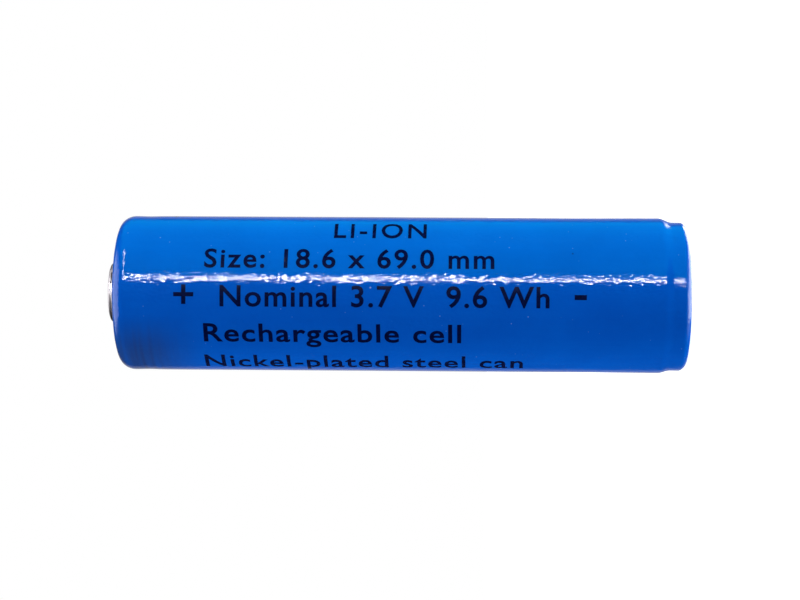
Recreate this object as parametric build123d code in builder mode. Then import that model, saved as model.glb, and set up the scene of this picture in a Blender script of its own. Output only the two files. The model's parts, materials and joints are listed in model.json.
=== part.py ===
"""A protected button-top lithium-ion cell of the 18650 format, standing on its negative end.

The axis is +Z and points to the positive button. The origin is the centre of the negative
contact face. From the bottom up there are three assemblies inside one shrink sleeve:

- the protection board, with its contact plate, its parts and its paper insulation
- the bare flat-top cell: a drawn can, the wound electrodes and the crimped safety header
- the button cap, which stands on the flat top and on the strip that runs down to the board

Sizes are in millimetres. Sheet parts of revolution are drawn as a centre line with a thickness.
"""

import os
from math import degrees

from build123d import *

# ---------------------------------------------------------------- driving dimensions
cell_length = 65.0           # bare cell, can bottom to flat top
can_diameter = 18.2          # bare can
button_diameter = 7.1        # top face of the positive button
button_height = 0.85         # button cap above the strip it is welded to
board_part_space = 1.45      # room over the protection board for its parts

fit_gap = 0.02               # pieces that are pressed, glued or laminated together
slide_gap = 0.05             # pieces that are dropped in

# shrink sleeve
film = 0.15
film_gap = 0.05              # between the can and the film
top_lip_width = 1.9          # film folded in over the insulating washer, from the can's radius
bottom_lip_width = 1.7       # film folded in round the negative contact face
shoulder_radius = 1.25       # inside the film, at the positive end
board_corner_radius = 0.55   # inside the film, at the negative end
board_film_gap = 0.15        # between the board's edge and the film
film_step_length = 1.6       # taper from the board up to the can
film_step_lap = 0.55         # how far down past the can's bottom the taper runs
film_bend_radius = 1.0       # where the taper starts and ends

# protection board at the negative end
contact_plate_thickness = 0.25
contact_face_gap = 0.4       # between the contact face and the film's lip
contact_rim_width = 1.2      # coined rim that the film's lip tucks under
contact_rim_step = 0.2       # width of the slope between the face and the rim
mask_gap = 0.02              # solder mask between the plate's rim and the board
board_inset = 0.5            # the board's radius is this much under the can's
board_thickness = 0.8
spacer_width = 1.0
paper_disc_thickness = 0.25
tab_thickness = 0.1
tab_width = 4.0

# positive strip, from the flat top down the side to the board
strip_thickness = 0.1
strip_width = 3.0
strip_paper_thickness = 0.04
strip_paper_width = 3.4
strip_end_reach = 1.8        # length soldered down on the board
strip_top_reach = 3.8        # length past the axis, welded to the flat top
strip_bend_radius = 0.15

# can
can_wall = 0.2
can_corner_radius = 1.1      # round the bottom
crimp_corner_radius = 0.8    # round the crimped rim
crimp_drop = 0.77            # the flat top stands this much over the crimped rim
rim_width = 1.75             # rolled rim, from the can's radius inwards
rim_slope = 0.1
bead_depth = 1.1
bead_height = 1.9
bead_flat = 0.7
bead_seat = 0.13             # gasket seat over the bead's upper edge

# safety header
gasket_wall = 0.6
gasket_top = 0.3
gasket_seat = 0.35
gasket_width = 2.1           # gasket lips, from the can's radius inwards
cap_sheet = 0.35
cap_plateau_radius = 4.4
cap_vent_length = 2.6
cap_vent_height = 0.65
cap_vent_count = 4
ptc_thickness = 0.25
ptc_inner_radius = 5.2
vent_sheet = 0.3
vent_nipple_radius = 1.6
vent_web_radius = 3.4
vent_score_radius = 3.9
vent_score_width = 0.3
vent_score_depth = 0.12
cid_web = 0.3
cid_plate_thickness = 0.4
cid_plate_inset = 2.8        # the plate's radius is this much under the can's
cid_skirt = 0.5
cid_skirt_wall = 0.5
cid_ring_inner_radius = 4.3
cid_hole_circle = 3.8
cid_hole_count = 6
cid_hole_diameter = 1.6

# wound electrodes
core_radius = 1.1            # centre pin
core_wall = 0.2
core_slit = 0.3              # the pin is a rolled tube, open along one side
core_inset = 0.5
first_turn_radius = 1.5
separator_thickness = 0.05
cathode_thickness = 0.16
anode_thickness = 0.17
sheet_gap = 0.035
electrode_tab_width = 2.6
electrode_tab_thickness = 0.1
disc_thickness = 0.3
tape_thickness = 0.05
tape_inset_ends = 4.0
bottom_insulator_inset = 1.3 # clear of the negative tab, which passes round it
bottom_insulator_hole = 1.2
top_insulator_inset = 0.15
top_insulator_hole = 2.6     # for the positive tab
top_insulator_vents = 6
top_insulator_vent_radius = 0.7
top_insulator_vent_circle = 5.4
anode_inset = 0.6
cathode_inset = 1.2
roll_headroom = 0.2

# washer over the crimped rim
washer_thickness = 0.2
washer_inner_radius = 5.05   # clears the cap's standing wall
washer_inset = 1.1           # the washer's radius is this much under the can's

# button cap
button_sheet = 0.2
button_flange_width = 1.15
button_slot_count = 3
button_slot_length = 1.6
button_slot_height = 0.3

# ---------------------------------------------------------------- levels along the axis
rim_lift = film + fit_gap + fit_gap / 2
board_bottom = rim_lift + contact_plate_thickness + mask_gap
board_top = board_bottom + board_thickness
disc_bottom = board_top + board_part_space
disc_top = disc_bottom + paper_disc_thickness
can_bottom = disc_top + tab_thickness
flat_top = can_bottom + cell_length
button_bottom = flat_top + strip_thickness
overall_length = button_bottom + button_height
crimp_top = flat_top - crimp_drop
washer_top = crimp_top + washer_thickness
film_low = film + fit_gap
film_high = washer_top + strip_thickness + fit_gap
gasket_high = crimp_top - can_wall - rim_slope - slide_gap
cap_flange_top = gasket_high - gasket_top
ptc_top = cap_flange_top - cap_sheet
vent_top = ptc_top - ptc_thickness
vent_bottom = vent_top - vent_sheet
gasket_bottom = vent_bottom - gasket_seat
bead_middle = gasket_bottom - bead_seat - bead_height / 2
bead_bottom = bead_middle - bead_height / 2
film_step_bottom = can_bottom - film_step_lap
film_step_top = film_step_bottom + film_step_length

# ---------------------------------------------------------------- radii
can_radius = can_diameter / 2
board_radius = can_radius - board_inset
film_inner_radius = can_radius + film_gap
strip_paper_radius = can_radius + fit_gap
strip_radius = strip_paper_radius + strip_paper_thickness + fit_gap / 2
ridge_height = strip_radius + strip_thickness + fit_gap - film_inner_radius
can_inner_radius = can_radius - can_wall
header_radius = can_inner_radius - gasket_wall - 2 * slide_gap
board_end_inset = board_inset + film_gap - board_film_gap
top_lip_radius = can_radius - top_lip_width
bottom_lip_radius = can_radius - bottom_lip_width
contact_face_radius = bottom_lip_radius - contact_face_gap
rim_inner_radius = can_radius - rim_width
gasket_inner_radius = can_radius - gasket_width
cid_plate_radius = can_radius - cid_plate_inset
washer_outer_radius = can_radius - washer_inset


def angle_of(width, radius):
    """The angle in degrees that a width takes up round a circle."""
    return degrees(width / radius)


def sheet_ring(points, radii, thickness):
    """The section of a turned sheet, from its centre line and its thickness."""
    with BuildSketch(Plane.XZ) as section:
        with BuildLine():
            FilletPolyline(*points, radius=radii)
        trace(line_width=thickness)
    return section.sketch


def ring_section(inner, outer, low, high):
    """The rectangular section of a plain ring."""
    with BuildSketch(Plane.XZ) as section:
        with Locations(((inner + outer) / 2, (low + high) / 2)):
            Rectangle(outer - inner, high - low)
    return section.sketch


def wrap_section(growth, ridge):
    """Half section of the space that the film encloses, grown outwards by a thickness."""
    body = film_inner_radius + ridge + growth
    board_end = body - board_end_inset
    low = film_low - growth
    high = film_high + growth
    with BuildSketch(Plane.XZ) as section:
        with BuildLine():
            FilletPolyline(
                (0, low),
                (board_end, low),
                (board_end, film_step_bottom),
                (body, film_step_top),
                (body, high),
                (0, high),
                radius=[
                    0,
                    board_corner_radius + growth,
                    film_bend_radius,
                    film_bend_radius,
                    shoulder_radius + growth,
                    0,
                ],
                close=True,
            )
        make_face()
    return section.sketch


# the wound sheets in their order from the core: separator, cathode, separator, anode
half_gap = sheet_gap + separator_thickness / 2
wind_pitch = cathode_thickness + anode_thickness + 4 * half_gap
cathode_radius = first_turn_radius + half_gap + cathode_thickness / 2
outer_separator_radius = cathode_radius + cathode_thickness / 2 + half_gap
anode_radius = outer_separator_radius + half_gap + anode_thickness / 2

# an odd number of half turns, as many as the can takes under the tape
tape_inset = tape_thickness + sheet_gap + electrode_tab_thickness / 2 + wind_pitch / 4
wind_room = can_inner_radius - slide_gap - tape_inset - anode_radius
wind_half_turns = 2 * int(wind_room / wind_pitch) + 1


def wound_sheet(first_radius, thickness, first_step, last_step):
    """The section of one wound sheet: half circles in turn about two centres.

    The centres lie half a pitch apart, so every half circle meets the next one in line, and
    sheets drawn about the same centres keep the same gap all the way round.
    """
    turns_side = [1, -1]
    shift = wind_pitch / 2
    with BuildSketch() as section:
        with BuildLine():
            for side in (-thickness / 2, thickness / 2):
                for step in range(first_step, last_step):
                    odd = step % 2
                    radius = first_radius + step * shift + side
                    CenterArc((shift * odd, 0), radius, 180 * odd, 180)
            for step in (first_step, last_step):
                odd = step % 2
                radius = first_radius + step * shift
                middle = shift * odd + turns_side[odd] * radius
                Line((middle - thickness / 2, 0), (middle + thickness / 2, 0))
        make_face()
    return section.sketch


# ---------------------------------------------------------------- shrink sleeve
ridge_angle = angle_of(strip_paper_width + 0.2, can_radius)
film_angle = angle_of(2 * film, can_radius)

with BuildPart() as outer_sleeve:
    revolve(wrap_section(film, 0), axis=Axis.Z)
    revolve(
        wrap_section(film, ridge_height).rotate(Axis.Z, 90 - (ridge_angle + film_angle) / 2),
        axis=Axis.Z,
        revolution_arc=ridge_angle + film_angle,
    )
    revolve(wrap_section(0, 0), axis=Axis.Z, mode=Mode.SUBTRACT)
    revolve(
        wrap_section(0, ridge_height).rotate(Axis.Z, 90 - ridge_angle / 2),
        axis=Axis.Z,
        revolution_arc=ridge_angle,
        mode=Mode.SUBTRACT,
    )
    for height, radius in ((0, bottom_lip_radius), (film_high, top_lip_radius)):
        with BuildSketch(Plane.XY.offset(height)):
            Circle(radius)
        extrude(amount=film_low + film, mode=Mode.SUBTRACT)

# ---------------------------------------------------------------- negative contact plate
plate_outer_radius = contact_face_radius + contact_rim_width
plate_middle = contact_plate_thickness / 2

with BuildPart() as negative_contact_plate:
    revolve(
        sheet_ring(
            [
                (0, plate_middle),
                (contact_face_radius, plate_middle),
                (contact_face_radius + contact_rim_step, plate_middle + rim_lift),
                (plate_outer_radius, plate_middle + rim_lift),
            ],
            0,
            contact_plate_thickness,
        ),
        axis=Axis.Z,
    )

# ---------------------------------------------------------------- solder under the board
solder_pad_radius = 1.3
solder_circle_radius = 4.6

with BuildPart() as contact_solder:
    with BuildSketch(Plane.XY.offset(contact_plate_thickness)):
        Circle(solder_pad_radius)
        with PolarLocations(solder_circle_radius, 4, start_angle=45):
            Circle(solder_pad_radius)
    extrude(amount=board_bottom - contact_plate_thickness)

# ---------------------------------------------------------------- protection board
via_diameter = 0.5
via_circle_radius = 2.4
edge_notch_radius = 0.6

with BuildPart() as circuit_board:
    with BuildSketch(Plane.XY.offset(board_bottom)):
        Circle(board_radius)
        with PolarLocations(board_radius, 2, start_angle=0):
            Circle(edge_notch_radius, mode=Mode.SUBTRACT)
        with PolarLocations(via_circle_radius, 8):
            Circle(via_diameter / 2, mode=Mode.SUBTRACT)
    extrude(amount=board_thickness)

# ---------------------------------------------------------------- parts on the board
package_standoff = 0.1
leg_reach = 0.7
leg_width = 0.3
leg_thickness = 0.15
standing = (Align.CENTER, Align.CENTER, Align.MIN)


def gull_wing_package(size, legs, pitch, centre):
    """A moulded package with gull-wing legs along both long sides, standing on the board."""
    length, width, height = size
    x, y = centre
    with BuildPart(Plane.XY.offset(board_top)) as package:
        with Locations((x, y, package_standoff)):
            Box(length, width, height - package_standoff, align=standing)
        for side in (-1, 1):
            edge = y + side * width / 2
            for leg in range(legs):
                along = x + (leg - (legs - 1) / 2) * pitch
                with Locations((along, edge + side * leg_reach / 2, 0)):
                    Box(leg_width, leg_reach, leg_thickness, align=standing)
                with Locations((along, edge + side * leg_thickness / 2, 0)):
                    Box(leg_width, leg_thickness, height / 2, align=standing)
    return package.part


mosfet_size = (3.0, 3.4, 1.0)
mosfet_leg_pitch = 0.65
mosfet_places = ((-2.6, -3.2), (2.6, -3.2))
controller_size = (2.9, 1.6, 1.1)
controller_leg_pitch = 0.95
controller_place = (0, 2.6)
chip_length = 1.6
chip_width = 0.8
resistor_height = 0.45
resistor_places = ((-3.2, 1.9), (-3.2, 3.6))
capacitor_height = 0.8
capacitor_places = ((0, 0.2), (-5.2, 1.2))

with BuildPart() as mosfets:
    for place in mosfet_places:
        add(gull_wing_package(mosfet_size, 4, mosfet_leg_pitch, place))

with BuildPart() as protection_ic:
    add(gull_wing_package(controller_size, 3, controller_leg_pitch, controller_place))

with BuildPart() as resistors:
    with BuildSketch(Plane.XY.offset(board_top)):
        with Locations(*resistor_places):
            Rectangle(chip_length, chip_width)
    extrude(amount=resistor_height)

with BuildPart() as capacitors:
    with BuildSketch(Plane.XY.offset(board_top)):
        with Locations(*capacitor_places):
            Rectangle(chip_length, chip_width)
    extrude(amount=capacitor_height)

# ---------------------------------------------------------------- spacer and paper disc
spacer_inset = 0.1           # the spacer's radius is this much under the board's
spacer_outer_radius = board_radius - spacer_inset
slot_clearance = 0.4
strip_slot_width = strip_width + 2 * slot_clearance

with BuildPart() as board_spacer:
    with BuildSketch(Plane.XY.offset(board_top)):
        Circle(spacer_outer_radius)
        Circle(spacer_outer_radius - spacer_width, mode=Mode.SUBTRACT)
        with Locations((0, spacer_outer_radius)):
            Rectangle(strip_slot_width, 4 * spacer_width, mode=Mode.SUBTRACT)
    extrude(amount=board_part_space)

board_tab_fold = spacer_outer_radius - spacer_width - 0.9
paper_disc_inset = 0.3       # the paper's radius is this much under the board's
tab_slot_width = 1.0

with BuildPart() as board_insulating_disc:
    with BuildSketch(Plane.XY.offset(disc_bottom)):
        Circle(board_radius - paper_disc_inset)
        with Locations((board_tab_fold, 0)):
            Rectangle(tab_slot_width, tab_width + 2 * slot_clearance, mode=Mode.SUBTRACT)
    extrude(amount=paper_disc_thickness)

# ---------------------------------------------------------------- tab from the can to the board
board_tab_length = 2.0       # length soldered down on the board
board_tab_reach = 3.0        # length past the axis, welded under the can
board_tab_bend_radius = 0.2

with BuildPart() as negative_board_tab:
    with BuildSketch(Plane.XZ):
        with BuildLine():
            FilletPolyline(
                (-board_tab_reach, disc_top + tab_thickness / 2),
                (board_tab_fold, disc_top + tab_thickness / 2),
                (board_tab_fold, board_top + tab_thickness / 2),
                (board_tab_fold - board_tab_length, board_top + tab_thickness / 2),
                radius=board_tab_bend_radius,
            )
        trace(line_width=tab_thickness)
    extrude(amount=tab_width / 2, both=True)

# ---------------------------------------------------------------- positive strip
strip_side = strip_radius + strip_thickness / 2
strip_foot = strip_side - board_end_inset
strip_over_washer = washer_top + strip_thickness / 2
strip_on_top = flat_top + strip_thickness / 2
strip_step_start = cap_plateau_radius + 0.4
strip_step_end = washer_inner_radius + 0.35
strip_joint = washer_outer_radius - 0.5     # where the flat run meets the curved one
strip_angle = angle_of(strip_width, strip_side)
strip_shoulder = shoulder_radius - fit_gap - strip_thickness / 2 + 0.02

with BuildPart() as positive_strip:
    revolve(
        sheet_ring(
            [
                (strip_joint, strip_over_washer),
                (strip_side, strip_over_washer),
                (strip_side, film_step_top),
                (strip_foot, film_step_bottom),
                (strip_foot, board_top + strip_thickness),
            ],
            [strip_shoulder, film_bend_radius, film_bend_radius],
            strip_thickness,
        ).rotate(Axis.Z, 90 - strip_angle / 2),
        axis=Axis.Z,
        revolution_arc=strip_angle,
    )
    with BuildSketch(Plane.YZ):
        with BuildLine():
            FilletPolyline(
                (-strip_top_reach, strip_on_top),
                (strip_step_start, strip_on_top),
                (strip_step_end, strip_over_washer),
                (strip_joint + slide_gap, strip_over_washer),
                radius=strip_bend_radius,
            )
        trace(line_width=strip_thickness)
    extrude(amount=strip_width / 2, both=True)
    with BuildSketch(Plane.XY.offset(board_top)):
        with Locations((0, strip_foot - strip_end_reach / 2)):
            Rectangle(strip_width, strip_end_reach)
    extrude(amount=strip_thickness)

paper_angle = angle_of(strip_paper_width, strip_paper_radius)
paper_low = max(can_bottom + can_corner_radius, film_step_top)
paper_high = crimp_top - crimp_corner_radius

with BuildPart() as strip_insulator:
    revolve(
        ring_section(
            strip_paper_radius,
            strip_paper_radius + strip_paper_thickness,
            paper_low,
            paper_high,
        ).rotate(Axis.Z, 90 - paper_angle / 2),
        axis=Axis.Z,
        revolution_arc=paper_angle,
    )

# ---------------------------------------------------------------- solder on the two tabs
solder_dot_radius = 0.7
solder_dot_height = 0.25
solder_dot_taper = 25
solder_dot_places = (
    (board_tab_fold - board_tab_length / 2, 0),
    (0, strip_foot - strip_end_reach + solder_dot_radius / 2),
)

with BuildPart() as tab_solder:
    for place, sheet in zip(solder_dot_places, (tab_thickness, strip_thickness)):
        with BuildSketch(Plane.XY.offset(board_top + sheet)):
            with Locations(place):
                Circle(solder_dot_radius)
        extrude(amount=solder_dot_height, taper=solder_dot_taper)

# ---------------------------------------------------------------- can
wall_middle = can_radius - can_wall / 2
bead_radius = wall_middle - bead_depth
bead_bend_radius = 0.3

with BuildPart() as can:
    revolve(
        sheet_ring(
            [
                (0, can_bottom + can_wall / 2),
                (wall_middle, can_bottom + can_wall / 2),
                (wall_middle, bead_bottom),
                (bead_radius, bead_middle - bead_flat / 2),
                (bead_radius, bead_middle + bead_flat / 2),
                (wall_middle, bead_middle + bead_height / 2),
                (wall_middle, crimp_top - can_wall / 2),
                (rim_inner_radius, crimp_top - can_wall / 2 - rim_slope),
            ],
            [
                can_corner_radius - can_wall / 2,
                bead_bend_radius,
                bead_bend_radius,
                bead_bend_radius,
                bead_bend_radius,
                crimp_corner_radius - can_wall / 2,
            ],
            can_wall,
        ),
        axis=Axis.Z,
    )

# ---------------------------------------------------------------- gasket
gasket_radius = can_inner_radius - slide_gap
gasket_corner_radius = crimp_corner_radius - can_wall - slide_gap

with BuildPart() as gasket:
    with BuildSketch(Plane.XZ):
        with BuildLine():
            FilletPolyline(
                (gasket_inner_radius, gasket_bottom),
                (gasket_radius, gasket_bottom),
                (gasket_radius, gasket_high),
                (gasket_inner_radius, gasket_high),
                (gasket_inner_radius, cap_flange_top),
                (header_radius + slide_gap, cap_flange_top),
                (header_radius + slide_gap, vent_bottom),
                (gasket_inner_radius, vent_bottom),
                radius=[0, 0, gasket_corner_radius, 0, 0, 0, 0, 0],
                close=True,
            )
        make_face()
    revolve(axis=Axis.Z)

# ---------------------------------------------------------------- top cap
flange_middle = cap_flange_top - cap_sheet / 2
cap_bend_radius = 0.3
cap_vent_level = (flat_top + cap_flange_top - cap_sheet) / 2


def wall_slots(radius, count, first_turn, level, length, height, depth):
    """Slots cut through a standing wall, evenly spaced round the axis."""
    with BuildPart() as cutters:
        for step in range(count):
            turned = Plane.XZ.rotated((0, 0, first_turn + step * 360 / count))
            start = turned.z_dir * (radius - depth / 2) + Vector(0, 0, level)
            with BuildSketch(Plane(origin=start, x_dir=turned.x_dir, z_dir=turned.z_dir)):
                SlotOverall(length, height)
            extrude(amount=depth)
    return cutters.part


with BuildPart() as top_cap:
    revolve(
        sheet_ring(
            [
                (0, flat_top - cap_sheet / 2),
                (cap_plateau_radius, flat_top - cap_sheet / 2),
                (cap_plateau_radius, flange_middle),
                (header_radius, flange_middle),
            ],
            cap_bend_radius,
            cap_sheet,
        ),
        axis=Axis.Z,
    )
    add(
        wall_slots(cap_plateau_radius, cap_vent_count, 45, cap_vent_level,
                   cap_vent_length, cap_vent_height, 4 * cap_sheet),
        mode=Mode.SUBTRACT,
    )

# ---------------------------------------------------------------- resettable fuse ring
with BuildPart() as ptc_ring:
    revolve(ring_section(ptc_inner_radius, header_radius, vent_top, ptc_top), axis=Axis.Z)

# ---------------------------------------------------------------- vent disc
vent_middle = vent_top - vent_sheet / 2

with BuildPart() as vent_disc:
    revolve(
        sheet_ring(
            [
                (0, vent_middle - cid_web),
                (vent_nipple_radius, vent_middle - cid_web),
                (vent_web_radius, vent_middle),
                (header_radius, vent_middle),
            ],
            cap_bend_radius,
            vent_sheet,
        ),
        axis=Axis.Z,
    )
    revolve(
        ring_section(vent_score_radius, vent_score_radius + vent_score_width,
                     vent_top - vent_score_depth, vent_top),
        axis=Axis.Z,
        mode=Mode.SUBTRACT,
    )

# ---------------------------------------------------------------- current interrupt device
cid_plate_top = vent_bottom - cid_web
cid_ring_radius = cid_plate_radius + slide_gap + cid_skirt_wall

with BuildPart() as cid_insulator:
    revolve(
        ring_section(cid_ring_inner_radius, cid_ring_radius, cid_plate_top, vent_bottom),
        axis=Axis.Z,
    )
    revolve(
        ring_section(cid_plate_radius + slide_gap, cid_ring_radius,
                     cid_plate_top - cid_skirt, cid_plate_top),
        axis=Axis.Z,
    )

with BuildPart() as cid_plate:
    with BuildSketch(Plane.XY.offset(cid_plate_top - cid_plate_thickness)):
        Circle(cid_plate_radius)
        with PolarLocations(cid_hole_circle, cid_hole_count):
            Circle(cid_hole_diameter / 2, mode=Mode.SUBTRACT)
    extrude(amount=cid_plate_thickness)

# ---------------------------------------------------------------- wound electrodes
roll_seat = can_bottom + can_wall + electrode_tab_thickness + disc_thickness
roll_low = roll_seat + slide_gap
roll_high = bead_bottom - disc_thickness - roll_headroom


def wound_part(first_radius, thickness, first_step, last_step, inset):
    """One wound sheet as a solid, set in from both ends of the roll."""
    with BuildPart() as sheet:
        with BuildSketch(Plane.XY.offset(roll_low + inset)):
            add(wound_sheet(first_radius, thickness, first_step, last_step))
        extrude(amount=roll_high - roll_low - 2 * inset)
    return sheet


inner_separator = wound_part(first_turn_radius, separator_thickness, 0, wind_half_turns, 0)
outer_separator = wound_part(outer_separator_radius, separator_thickness, 0, wind_half_turns, 0)
cathode_sheet = wound_part(cathode_radius, cathode_thickness, 1, wind_half_turns - 2,
                           cathode_inset)
anode_sheet = wound_part(anode_radius, anode_thickness, 1, wind_half_turns - 1, anode_inset)

with BuildPart() as centre_pin:
    with BuildSketch(Plane.XY.offset(roll_low + core_inset)):
        Circle(core_radius)
        Circle(core_radius - core_wall, mode=Mode.SUBTRACT)
        with Locations((core_radius, 0)):
            Rectangle(3 * core_wall, core_slit, mode=Mode.SUBTRACT)
    extrude(amount=roll_high - roll_low - 2 * core_inset)

# the negative tab lies in the half turn after the anode ends, and the tape closes round it
last_step = wind_half_turns - 1
negative_tab_radius = anode_radius + last_step * wind_pitch / 2
tape_radius = negative_tab_radius + electrode_tab_thickness / 2 + sheet_gap

with BuildPart() as winding_tape:
    with BuildSketch(Plane.XY.offset(roll_low + tape_inset_ends)):
        with Locations((wind_pitch / 4, 0)):
            Circle(tape_radius + tape_thickness)
            Circle(tape_radius, mode=Mode.SUBTRACT)
    extrude(amount=roll_high - roll_low - 2 * tape_inset_ends)

with BuildPart() as bottom_insulator:
    with BuildSketch(Plane.XY.offset(roll_seat - disc_thickness)):
        Circle(can_inner_radius - bottom_insulator_inset)
        Circle(bottom_insulator_hole, mode=Mode.SUBTRACT)
    extrude(amount=disc_thickness)

with BuildPart() as top_insulator:
    with BuildSketch(Plane.XY.offset(roll_high + slide_gap)):
        Circle(can_inner_radius - top_insulator_inset)
        Circle(top_insulator_hole, mode=Mode.SUBTRACT)
        with PolarLocations(top_insulator_vent_circle, top_insulator_vents):
            Circle(top_insulator_vent_radius, mode=Mode.SUBTRACT)
    extrude(amount=disc_thickness - slide_gap)

# the positive tab lies in the half turn before the cathode starts
tab_bottom = roll_low + (roll_high - roll_low) / 3
positive_tab_angle = angle_of(electrode_tab_width, cathode_radius)
positive_tab_top = cid_plate_top - cid_plate_thickness
positive_tab_foot = 1.8      # width of the end welded under the plate

with BuildPart() as positive_tab:
    with BuildSketch(Plane.XY.offset(tab_bottom)):
        with BuildLine():
            CenterArc((0, 0), cathode_radius, 90 - positive_tab_angle / 2, positive_tab_angle)
        trace(line_width=electrode_tab_thickness)
    extrude(amount=positive_tab_top - tab_bottom)
    with BuildSketch(Plane.XY.offset(positive_tab_top - electrode_tab_thickness)):
        with Locations((0, -electrode_tab_thickness / 2)):
            Rectangle(positive_tab_foot, 2 * cathode_radius + electrode_tab_thickness)
    extrude(amount=electrode_tab_thickness)

negative_tab_angle = angle_of(tab_width, negative_tab_radius)
negative_tab_level = can_bottom + can_wall + electrode_tab_thickness / 2
negative_tab_reach = 2.0     # past the axis, under the insulator
negative_tab_rise = 0.4      # slope that lifts the tab out of the can's round corner
negative_tab_start = 1.0     # degrees past the end of the anode
negative_tab_drop = 6.0      # the tab ends this much short of the roll's length
negative_tab_bend_radius = 0.15
negative_tab_lead = can_radius - can_corner_radius - negative_tab_bend_radius
negative_tab_joint = negative_tab_lead - 0.8
negative_tab_turn = negative_tab_start + negative_tab_angle / 2
negative_tab_plane = Plane.XY.offset(can_bottom + can_wall).rotated((0, 0, negative_tab_turn))
joint_lap = 0.1

with BuildPart() as negative_tab:
    revolve(
        sheet_ring(
            [
                (negative_tab_joint, negative_tab_level),
                (negative_tab_lead, negative_tab_level),
                (negative_tab_radius, negative_tab_level + negative_tab_rise),
                (negative_tab_radius, roll_high - negative_tab_drop),
            ],
            negative_tab_bend_radius,
            electrode_tab_thickness,
        ).rotate(Axis.Z, negative_tab_start),
        axis=Axis.Z,
        revolution_arc=negative_tab_angle,
    )
    with BuildSketch(negative_tab_plane):
        with Locations(((negative_tab_joint + joint_lap - negative_tab_reach) / 2, 0)):
            Rectangle(negative_tab_joint + joint_lap + negative_tab_reach, electrode_tab_width)
    extrude(amount=electrode_tab_thickness)

# ---------------------------------------------------------------- washer over the rim
with BuildPart() as insulating_washer:
    revolve(ring_section(washer_inner_radius, washer_outer_radius, crimp_top, washer_top),
            axis=Axis.Z)

# ---------------------------------------------------------------- button cap
button_radius = button_diameter / 2
button_flange_middle = button_bottom + button_sheet / 2
button_wall = button_radius - button_sheet / 2
button_middle = (button_bottom + overall_length) / 2
button_bend_radius = 0.2

with BuildPart() as button_cap:
    revolve(
        sheet_ring(
            [
                (0, overall_length - button_sheet / 2),
                (button_wall, overall_length - button_sheet / 2),
                (button_wall, button_flange_middle),
                (button_radius + button_flange_width, button_flange_middle),
            ],
            button_bend_radius,
            button_sheet,
        ),
        axis=Axis.Z,
    )
    add(
        wall_slots(button_wall, button_slot_count, 30, button_middle,
                   button_slot_length, button_slot_height, 4 * button_sheet),
        mode=Mode.SUBTRACT,
    )

# ---------------------------------------------------------------- write every piece
pieces = {
    "outer_sleeve": outer_sleeve,
    "negative_contact_plate": negative_contact_plate,
    "contact_solder": contact_solder,
    "circuit_board": circuit_board,
    "mosfets": mosfets,
    "protection_ic": protection_ic,
    "resistors": resistors,
    "capacitors": capacitors,
    "board_spacer": board_spacer,
    "board_insulating_disc": board_insulating_disc,
    "negative_board_tab": negative_board_tab,
    "positive_strip": positive_strip,
    "strip_insulator": strip_insulator,
    "tab_solder": tab_solder,
    "can": can,
    "gasket": gasket,
    "top_cap": top_cap,
    "ptc_ring": ptc_ring,
    "vent_disc": vent_disc,
    "cid_insulator": cid_insulator,
    "cid_plate": cid_plate,
    "inner_separator": inner_separator,
    "outer_separator": outer_separator,
    "cathode_sheet": cathode_sheet,
    "anode_sheet": anode_sheet,
    "centre_pin": centre_pin,
    "winding_tape": winding_tape,
    "bottom_insulator": bottom_insulator,
    "top_insulator": top_insulator,
    "positive_tab": positive_tab,
    "negative_tab": negative_tab,
    "insulating_washer": insulating_washer,
    "button_cap": button_cap,
}

os.makedirs("parts", exist_ok=True)
for label, piece in pieces.items():
    piece.part.label = label
    export_step(piece.part, f"parts/{label}.step")
    print(label, len(piece.part.solids()), round(piece.part.volume, 3))
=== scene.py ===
# %% [markdown]
# # A shrink-wrapped lithium-ion cell
#
# A protected cell is a drawn steel can that holds wound electrodes, a crimped header with a
# raised button at one end and a small round circuit board at the other. One blue PVC sleeve is
# shrunk over all of it, so nearly everything that is seen is this thin film, the printing on it,
# and the two metal contacts. The measured model comes in as a fixed frame. This lesson dresses
# it: the film, the printing, the button, the paper washer and the contact plate are remade with
# the detail that they have on a bench, and every other piece gets its real finish.

# %% Load the measured frame
import json
import math

import bmesh
import bpy
from mathutils import Matrix, Vector


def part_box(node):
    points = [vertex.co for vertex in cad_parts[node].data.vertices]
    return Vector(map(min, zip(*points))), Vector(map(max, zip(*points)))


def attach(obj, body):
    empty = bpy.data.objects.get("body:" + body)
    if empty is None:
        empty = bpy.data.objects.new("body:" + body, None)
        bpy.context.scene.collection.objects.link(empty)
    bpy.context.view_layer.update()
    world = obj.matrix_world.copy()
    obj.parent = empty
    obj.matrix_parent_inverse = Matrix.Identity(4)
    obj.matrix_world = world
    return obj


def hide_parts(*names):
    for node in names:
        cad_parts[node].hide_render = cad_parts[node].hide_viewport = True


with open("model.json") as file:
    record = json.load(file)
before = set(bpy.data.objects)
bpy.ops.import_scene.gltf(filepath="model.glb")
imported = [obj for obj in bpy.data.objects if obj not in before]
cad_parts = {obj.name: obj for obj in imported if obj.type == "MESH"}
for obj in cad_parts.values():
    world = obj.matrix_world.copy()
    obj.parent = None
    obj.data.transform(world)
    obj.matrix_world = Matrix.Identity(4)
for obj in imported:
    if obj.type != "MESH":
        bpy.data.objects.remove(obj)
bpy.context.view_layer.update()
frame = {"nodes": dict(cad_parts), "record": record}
MM = 0.001
print("nodes in the frame:", len(frame["nodes"]))

# %% [markdown]
# ## Two helpers for node trees
#
# Shader trees and geometry trees are both lists of nodes with links. One small function adds a
# node, gives it its settings, and either links or fills each input. An input is named, or given
# by its number where names repeat: in Map Range, 1 to 4 are From Min, From Max, To Min and To
# Max, and in a colour Mix, 6 and 7 are A and B. Colours are written the way a paint chart gives
# them, in sRGB hex, and Blender wants them linear, so one function turns them over.

# %% Node and colour helpers


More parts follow.
